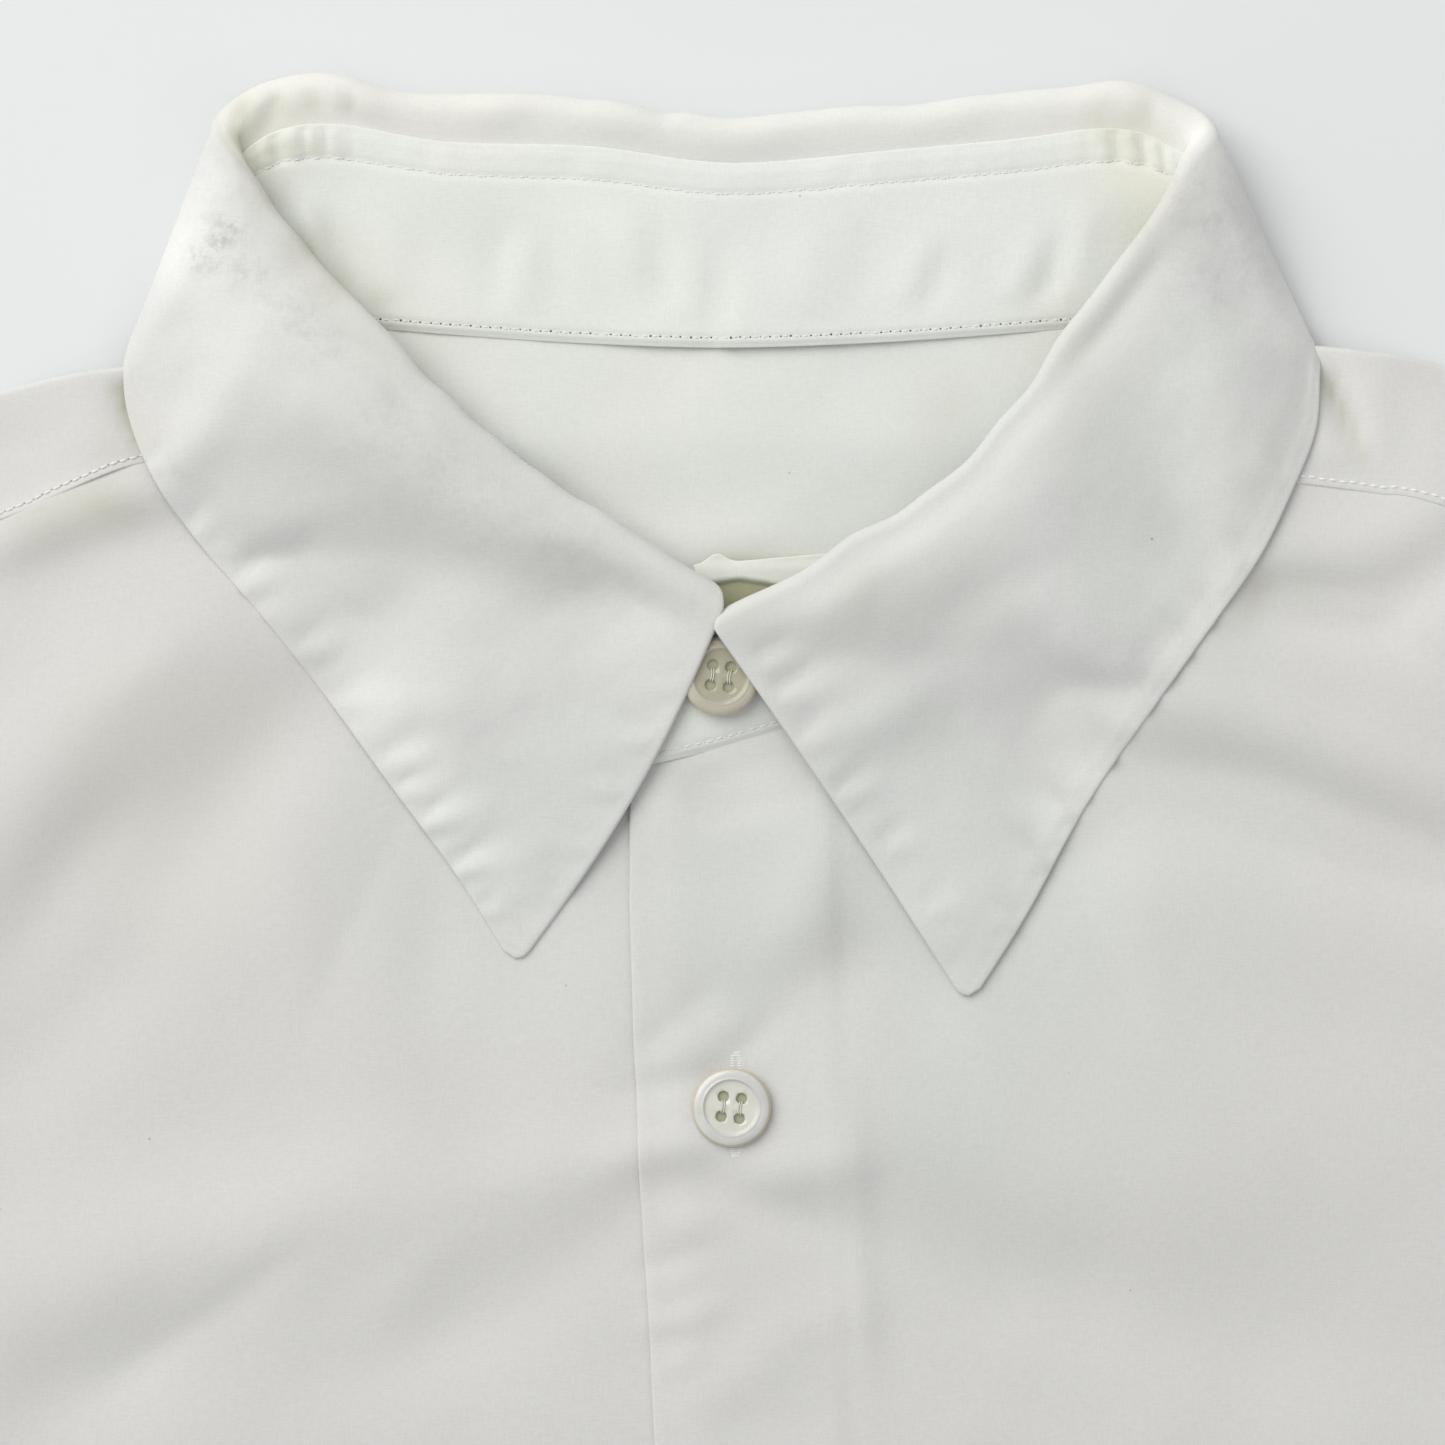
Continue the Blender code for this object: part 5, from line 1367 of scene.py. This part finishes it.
def cuff_grid(sign):
    """An open band lying flat: under end, inner fold, lower layer, outer fold, over end."""
    inner, across, down = cuff_frame(sign)
    low, under, over = CUFF_LAYERS
    path = [(40.0, under), (20.0, under)]
    r = (under - low) / 2
    for angle in np.linspace(0, math.pi, 7):
        path.append((r - r * math.sin(angle), low + r + r * math.cos(angle)))
    path += [(30.0, low), (58.0, low), (86.0, low)]
    r = (over - low) / 2
    for angle in np.linspace(0, math.pi, 7):
        path.append((CUFF_WIDTH - r + r * math.sin(angle), low + r - r * math.cos(angle)))
    path += [(86.0, over - 0.3), (58.0, over - 0.4), (34.0, over - 0.2), (14.5, over - 0.5)]
    run, height = resample(np.array(path), 190).T
    first, last = 6.0, 59.0  # between them, the rows lie further apart
    downs = np.concatenate([[-3.0, -1.5], np.linspace(0.0, first, 9), np.linspace(first, last, 26)[1:-1],
                            np.linspace(last, CUFF_LENGTH, 9)])
    grid = []
    for v in downs:
        z = height + 0.12 * uneven(run, v + 0 * run, 26, 90 + sign) * smooth(0, 9, v)
        for seam in CUFF_SEAMS:
            z = z - 0.14 * math.exp(-((v - seam) / 0.6) ** 2)
        plan = inner + across * run[:, None] + down * (v + CLOTH / 2)
        grid.append(np.column_stack([plan, np.maximum(z, CUFF_T / 2)]))
    return np.array(grid), downs


def placket_point(up, over, sign):
    """Plan point of the sleeve placket, so far up from the cuff and so far over from the inner fold."""
    v = 1.0 - np.asarray(up, float) / SLEEVE_MIDDLE
    outer, inner = (sleeve_plan(v, np.full(v.shape, t), sign) for t in (0.0, 1.0))
    share = 1.0 - over / np.linalg.norm(inner - outer, axis=-1)
    return sleeve_plan(v, share, sign), v, share


def sleeve_surface(upper, v, share):
    """Height of the sleeve's upper layer at a share of its length and width."""
    rows, columns = upper.shape[:2]
    a = np.clip(v * (rows - 1), 0, rows - 1.001)
    b = np.clip(share * (columns - 1), 0, columns - 1.001)
    i, j = a.astype(int), b.astype(int)
    s, t = a - i, b - j
    here, below = (upper[k, j, 2] * (1 - t) + upper[k, j + 1, 2] * t for k in (i, i + 1))
    return here * (1 - s) + below * s


def placket_grid(sign, upper):
    """A strip on the sleeve's upper layer, running up from the cuff to a point."""
    shares = np.linspace(0, 1, 21)
    point = 12.0
    grid = []
    for up in np.linspace(0.0, PLACKET_LENGTH, 101):
        narrow = 1.0 - 0.94 * np.clip((up - (PLACKET_LENGTH - point)) / point, 0, 1)
        over = PLACKET_INSET + PLACKET_WIDTH * (0.5 + (shares - 0.5) * narrow)
        plan, v, share = placket_point(np.full(len(over), up), over, sign)
        z = sleeve_surface(upper, v, share) + SHIRT_T / 2 + BAND_T / 2 - 0.12
        edge = np.minimum(shares, 1 - shares) * PLACKET_WIDTH
        grid.append(np.column_stack([plan, z - 0.12 * np.exp(-(((edge - 1.6) / 0.6) ** 2))]))
    return np.array(grid)


sleeve_pieces = {}
for label, sign in SIDES:
    look = SLEEVE_LOOKS[sign]
    grid, upper = sleeve_grid(sign)
    sleeve = skin("sleeve_" + label, "shirt_cloth", grid, SHIRT_T, look, wrap=True)
    cuff_points, downs = cuff_grid(sign)
    cuff = skin("cuff_" + label, "shirt_cloth", cuff_points, CUFF_T, look)
    strip = placket_grid(sign, upper)
    placket = skin("sleeve_placket_" + label, "shirt_cloth", strip, BAND_T, look)
    over = slice(int(0.62 * cuff_points.shape[1]), None)
    lines = [(name, row_at(cuff_points, downs, level)[0][over], CUFF_T)
             for name, level in zip(("cuff_seam", "cuff_edge"), CUFF_SEAMS)]
    lines += [(name, strip[:94, column], BAND_T)
              for name, column in (("placket_inner", 1), ("placket_outer", -2))]
    threads = [stitches("%s_stitches_%s" % (name, label), line + UP * thick / 2, UP,
                        2.1, 1.7, 0.2, [THREAD, HOLES]) for name, line, thick in lines]
    sleeve_pieces[label] = dict(sleeve=sleeve, cuff=cuff, placket=placket, upper=upper, threads=threads)


# Seam stitches of the body

for label, sign in SIDES:
    grid = fronts[label][1]
    rows = grid[:FRONT_ROWS[0] + 1]
    arm = rows[:, -2][rows[:, -2, 1] > UNDERARM[1] + 2]
    arm[:, 0] -= sign * ARM_STITCHES
    arm[:, 2] = [np.interp(abs(p[0]), np.abs(r[:, 0]), r[:, 2]) + SHIRT_T / 2 for p, r in zip(arm, rows)]
    stitches("armhole_stitches_" + label, arm, UP, 2.2, 1.75, 0.2, [THREAD, HOLES])
    line = []
    for column in grid[::-1].transpose(1, 0, 2):
        y = column[0, 1] + HEM_STITCHES
        x, z = (np.interp(y, column[:, 1], column[:, k]) for k in (0, 2))
        line.append([x, y, z + 0.4])
    stitches("hem_stitches_" + label, np.array(line), UP, 2.3, 1.85, 0.2, [THREAD, HOLES])


# Neck label, left blank


def label_grid():
    """The label's middle surface, folded up where the stand begins, and its shade below the fold."""
    w, h = LABEL_SIZE
    c, s = math.cos(math.radians(LABEL_TILT)), math.sin(math.radians(LABEL_TILT))
    a, b = np.meshgrid(np.linspace(-w / 2, w / 2, 81), np.linspace(-h / 2, h / 2, 61))
    x, y = LABEL_CENTRE[0] + a * c - b * s, LABEL_CENTRE[1] + a * s + b * c
    y = y + 1.6 * np.exp(-(((x + 1.0) / 2.0) ** 2)) * smooth(5.5, 9, b)
    fold = 24.3 + 0.5 * np.sin(x / 2.6) - 0.4 * smooth(2, 6, x)
    up = smooth(0, 0.9, y - fold + 0.7)
    z = 1.15 + 0.9 * up * (1 - 0.35 * smooth(26, 28, y)) + 0.5 * up * smooth(1.5, -3.5, x)
    return np.dstack([x, y, z + 0.12 * np.sin(x / 3.0)]), 1 - up


label_points, label_shade = label_grid()
label_cloth = skin("neck_label", "label_cloth", label_points, LABEL_T, TAPE, warm=0.25, tint=0.8,
                   deep=label_shade)


# Buttons


def lathe(points, faces, profile, sides, x=0.0, y=0.0):
    """A turned shape from (radius, height) pairs, added to lists of points and faces."""
    add_rings(points, faces, [circle((x, y, z), (radius, 0, 0), (0, radius, 0), sides) if radius
                              else [(x, y, z)] for radius, z in profile])


def hole_centres(scale):
    """Plan places of a button's four holes."""
    return [(sx * HOLE_PITCH[0] / 2 * scale, sy * HOLE_PITCH[1] / 2 * scale)
            for sx in (-1, 1) for sy in (-1, 1)]


def helper_object(name, points, faces):
    """An object of its own in the scene, from points in millimetres."""
    mesh = bpy.data.meshes.new(name)
    mesh.from_pydata((np.array(points) * MM).tolist(), [], faces)
    made = bpy.data.objects.new(name, mesh)
    bpy.context.scene.collection.objects.link(made)
    return made


def button_mesh(name, diameter, scale):
    """A turned disc with a rounded rim, a shallow dish and four softened holes."""
    r, t = diameter / 2, BUTTON_T
    profile = [(0.0, 0.15), (r * 0.55, 0.05), (r * 0.8, 0.12)]
    for angle in np.linspace(-70, 80, 12):
        a = math.radians(angle)
        profile.append((r - 1.0 + 1.0 * math.cos(a), t * 0.50 + 0.42 * t * math.sin(a)))
    profile += [(r * out, t * up) for out, up in (
        (0.85, 0.945), (0.79, 0.955), (0.755, 0.955), (0.735, 0.985), (0.718, 0.99), (0.70, 0.955),
        (0.685, 0.89), (0.67, 0.835), (0.64, 0.805), (0.58, 0.795), (0.45, DISH), (0.0, 0.785))]
    points, faces = [], []
    lathe(points, faces, profile, 72)
    disc = helper_object(name + "_disc", points, faces)
    top, hole = t * DISH, HOLE_D * scale
    shape = [(hole * out, top + up) for out, up in (
        (0.0, -0.62), (0.47, -0.62), (0.47, -0.3), (0.50, -0.14), (0.58, 0.02), (0.62, 1.0), (0.0, 1.0))]
    points, faces = [], []
    for place in hole_centres(scale):
        lathe(points, faces, shape, 20, *place)
    cutter = helper_object(name + "_cutter", points, faces)
    cut = disc.modifiers.new("holes", "BOOLEAN")
    cut.operation, cut.solver, cut.object = "DIFFERENCE", "EXACT", cutter
    bpy.context.view_layer.update()
    made = bpy.data.meshes.new_from_object(disc.evaluated_get(bpy.context.evaluated_depsgraph_get()))
    made.name = name
    for helper in (disc, cutter):
        bpy.data.objects.remove(helper, do_unlink=True)
    made.materials.clear()
    for look in (PEARL, HOLE_THREAD_AND_SHADE, DISH_PEARL, FLANK_PEARL):
        made.materials.append(look)
    for face in made.polygons:
        u, v, w = face.center / MM
        near = min(math.hypot(u - x, v - y) for x, y in hole_centres(scale))
        out = math.hypot(u, v) / r
        if near < hole * 0.53 and top - 0.7 < w < top - 0.06:
            face.material_index = 1
        elif out < 0.66:
            face.material_index = 2
        elif out > 0.94 or w < t * 0.72:
            face.material_index = 3
    made.polygons.foreach_set("use_smooth", np.ones(len(made.polygons), bool))
    made.set_sharp_from_angle(angle=math.radians(50))
    return made


def button_threads(name, x, y, z, turn, scale):
    """Two bars of thread, each of two strands between the two holes of one side."""
    c, s = math.cos(math.radians(turn)), math.sin(math.radians(turn))
    points, faces = [], []
    for bar in (-1, 1):
        for strand in (-1, 1):
            middle = bar * HOLE_PITCH[0] / 2 * scale + 0.2 * strand
            reach = (HOLE_PITCH[1] / 2 - 0.5) * scale * (1.0 + 0.04 * strand)
            rings = []
            for t in np.linspace(1, -1, 13):
                a, b = middle * (1 - 0.12 * (1 - t * t)), t * reach
                rise = 0.12 * (1 - t**6) - 0.5 * abs(t) ** 8
                centre = (x + a * c - b * s, y + a * s + b * c, z + BUTTON_T * DISH + rise)
                rings.append(circle(centre, (0.12 * c, 0.12 * s, 0), (0, 0, 0.08)))
            first = len(points)
            add_rings(points, faces, rings)
            faces += [tuple(range(first + 5, first - 1, -1)), tuple(range(len(points) - 6, len(points)))]
    finish_mesh(name, points, faces, [BUTTON_THREAD])


def band_top(x, y):
    """Height of the button band's upper side."""
    return front_over_height(x, y) + BAND_T / 2


def buttonhole(name, x, y, length=16.4):
    """Close stitches round a buttonhole: two edges and a bar at each end."""
    rows = [(side * 0.6, b, 0.5) for side in (-1, 1) for b in np.arange(-length / 2, length / 2, 0.42)]
    rows += [(0.0, end * (length / 2 + 0.3 * k), 1.1) for end in (-1, 1) for k in range(3)]
    across, down, half = np.array(rows).T
    points, faces = [], []
    for u, v, z, reach in zip(x + across, y + down, band_top(x + across, y + down), half):
        rings = []
        for end, wide in ((-1.0, 0.0), (-0.7, 0.8), (0.0, 1.0), (0.7, 0.8), (1.0, 0.0)):
            place = u + end * reach
            rings.append(circle((place, v, z - 0.05), (0, 0.17 * wide, 0), (0, 0, 0.15 * wide)) if wide
                         else [(place, v, z - 0.1)])
        add_rings(points, faces, rings)
    finish_mesh(name, points, faces, [THREAD])


def place_button(node, mesh, x, y, z, turn, scale=1.0):
    """A turned copy of a button at its node, with its threads."""
    piece = bpy.data.objects.new(node + "_turned", mesh)
    bpy.context.scene.collection.objects.link(piece)
    piece.location = (x * MM, (y - CENTRE_Y) * MM, z * MM)
    piece.rotation_euler = (0, 0, math.radians(turn))
    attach(piece, "root")
    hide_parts(node)
    button_threads(node + "_threads", x, y, z, turn, scale)


big = button_mesh("shirt_button", BUTTON_D, 1.0)
small = button_mesh("small_button", SMALL_BUTTON_D, SMALL)
shaded = big.copy()
shaded.materials[0] = SHADED_PEARL
shaded.materials[2] = SHADED_DISH
place_button("neck_button", shaded, *NECK_BUTTON, 5.8, -7.0)
for number, y in enumerate(FRONT_BUTTONS_Y, 1):
    x = 1.5 if number == 1 else 2.0
    z = float(band_top(np.array([x]), np.array([y]))[0]) + 0.05
    place_button("front_button_%d" % number, big, x, y, z, -6.6)
    buttonhole("buttonhole_%d" % number, x + 0.9, y + 0.4)
for label, sign in SIDES:
    inner, across, down = cuff_frame(sign)
    x, y = inner + across * 26.0 + down * 32.0
    z = CUFF_LAYERS[2] - 0.3 + CUFF_T / 2 + 0.25
    place_button("cuff_button_" + label, small, x, y, z, 30.0 * sign, SMALL)
    plan, v, share = placket_point(np.array([78.0]), PLACKET_INSET + PLACKET_WIDTH / 2, sign)
    z = sleeve_surface(sleeve_pieces[label]["upper"], v, share)[0] + SHIRT_T / 2 + BAND_T + 0.1
    place_button("placket_button_" + label, small, *plan[0], z, 20.0 * sign, SMALL)


# Table, light and camera

floor_mesh = bpy.data.meshes.new("table_top")
size = 12.0  # half of the table's side, in metres
corners = [(-size, -size, 0), (size, -size, 0), (size, size, 0), (-size, size, 0)]
floor_mesh.from_pydata(corners, [], [(0, 1, 2, 3)])
floor = bpy.data.objects.new("table_top", floor_mesh)
floor.location.z = -0.0002
bpy.context.scene.collection.objects.link(floor)
table = Look("pale_table")
table.set(Base_Color=table.mix(table.noise(3.0, 2.0), (0.79, 0.812, 0.806, 1), (0.775, 0.797, 0.791, 1)),
          Roughness=0.6, Specular_IOR_Level=0.2)
floor_mesh.materials.append(table.material)

scene = bpy.context.scene
world = bpy.data.worlds.new("studio")
scene.world = world
world.use_nodes = True
background = world.node_tree.nodes["Background"].inputs
background["Color"].default_value = (0.985, 0.99, 1.0, 1)
background["Strength"].default_value = 0.55


def lamp(name, place, aim, size, power, colour):
    """A round soft light, in metres and watts."""
    light = bpy.data.lights.new(name, "AREA")
    light.shape = "DISK"
    light.size, light.energy, light.color = size, power, colour
    made = bpy.data.objects.new(name, light)
    made.location = place
    made.rotation_euler = (Vector(aim) - Vector(place)).to_track_quat("-Z", "Y").to_euler()
    scene.collection.objects.link(made)


lamp("window", (-1.6, 2.0, 2.0), (0, 0.25, 0), 3.2, 56.0, (1.0, 0.995, 0.985))
lamp("near_left", (-0.7, 0.95, 0.9), (-0.05, 0.33, 0), 1.2, 3.4, (1.0, 1.0, 1.0))
lamp("low_right", (1.0, -0.8, 1.2), (0.0, 0.2, 0), 0.3, 0.9, (1.0, 1.0, 1.0))

camera = bpy.data.objects.new("camera", bpy.data.cameras.new("camera"))
scene.collection.objects.link(camera)
camera_z, scale_z, sensor = 1.2, 0.006, 36.0  # a pixel is PIXEL wide at the height scale_z
camera.location = (0.0, -CENTRE_Y * MM, camera_z)
camera.rotation_euler = (0, 0, 0)
camera.data.sensor_width = sensor
camera.data.lens = sensor * (camera_z - scale_z) / (2 * MIDDLE * PIXEL * MM)
camera.data.clip_start = 0.05
scene.camera = camera
scene.view_settings.view_transform = "Standard"
scene.view_settings.look = "None"
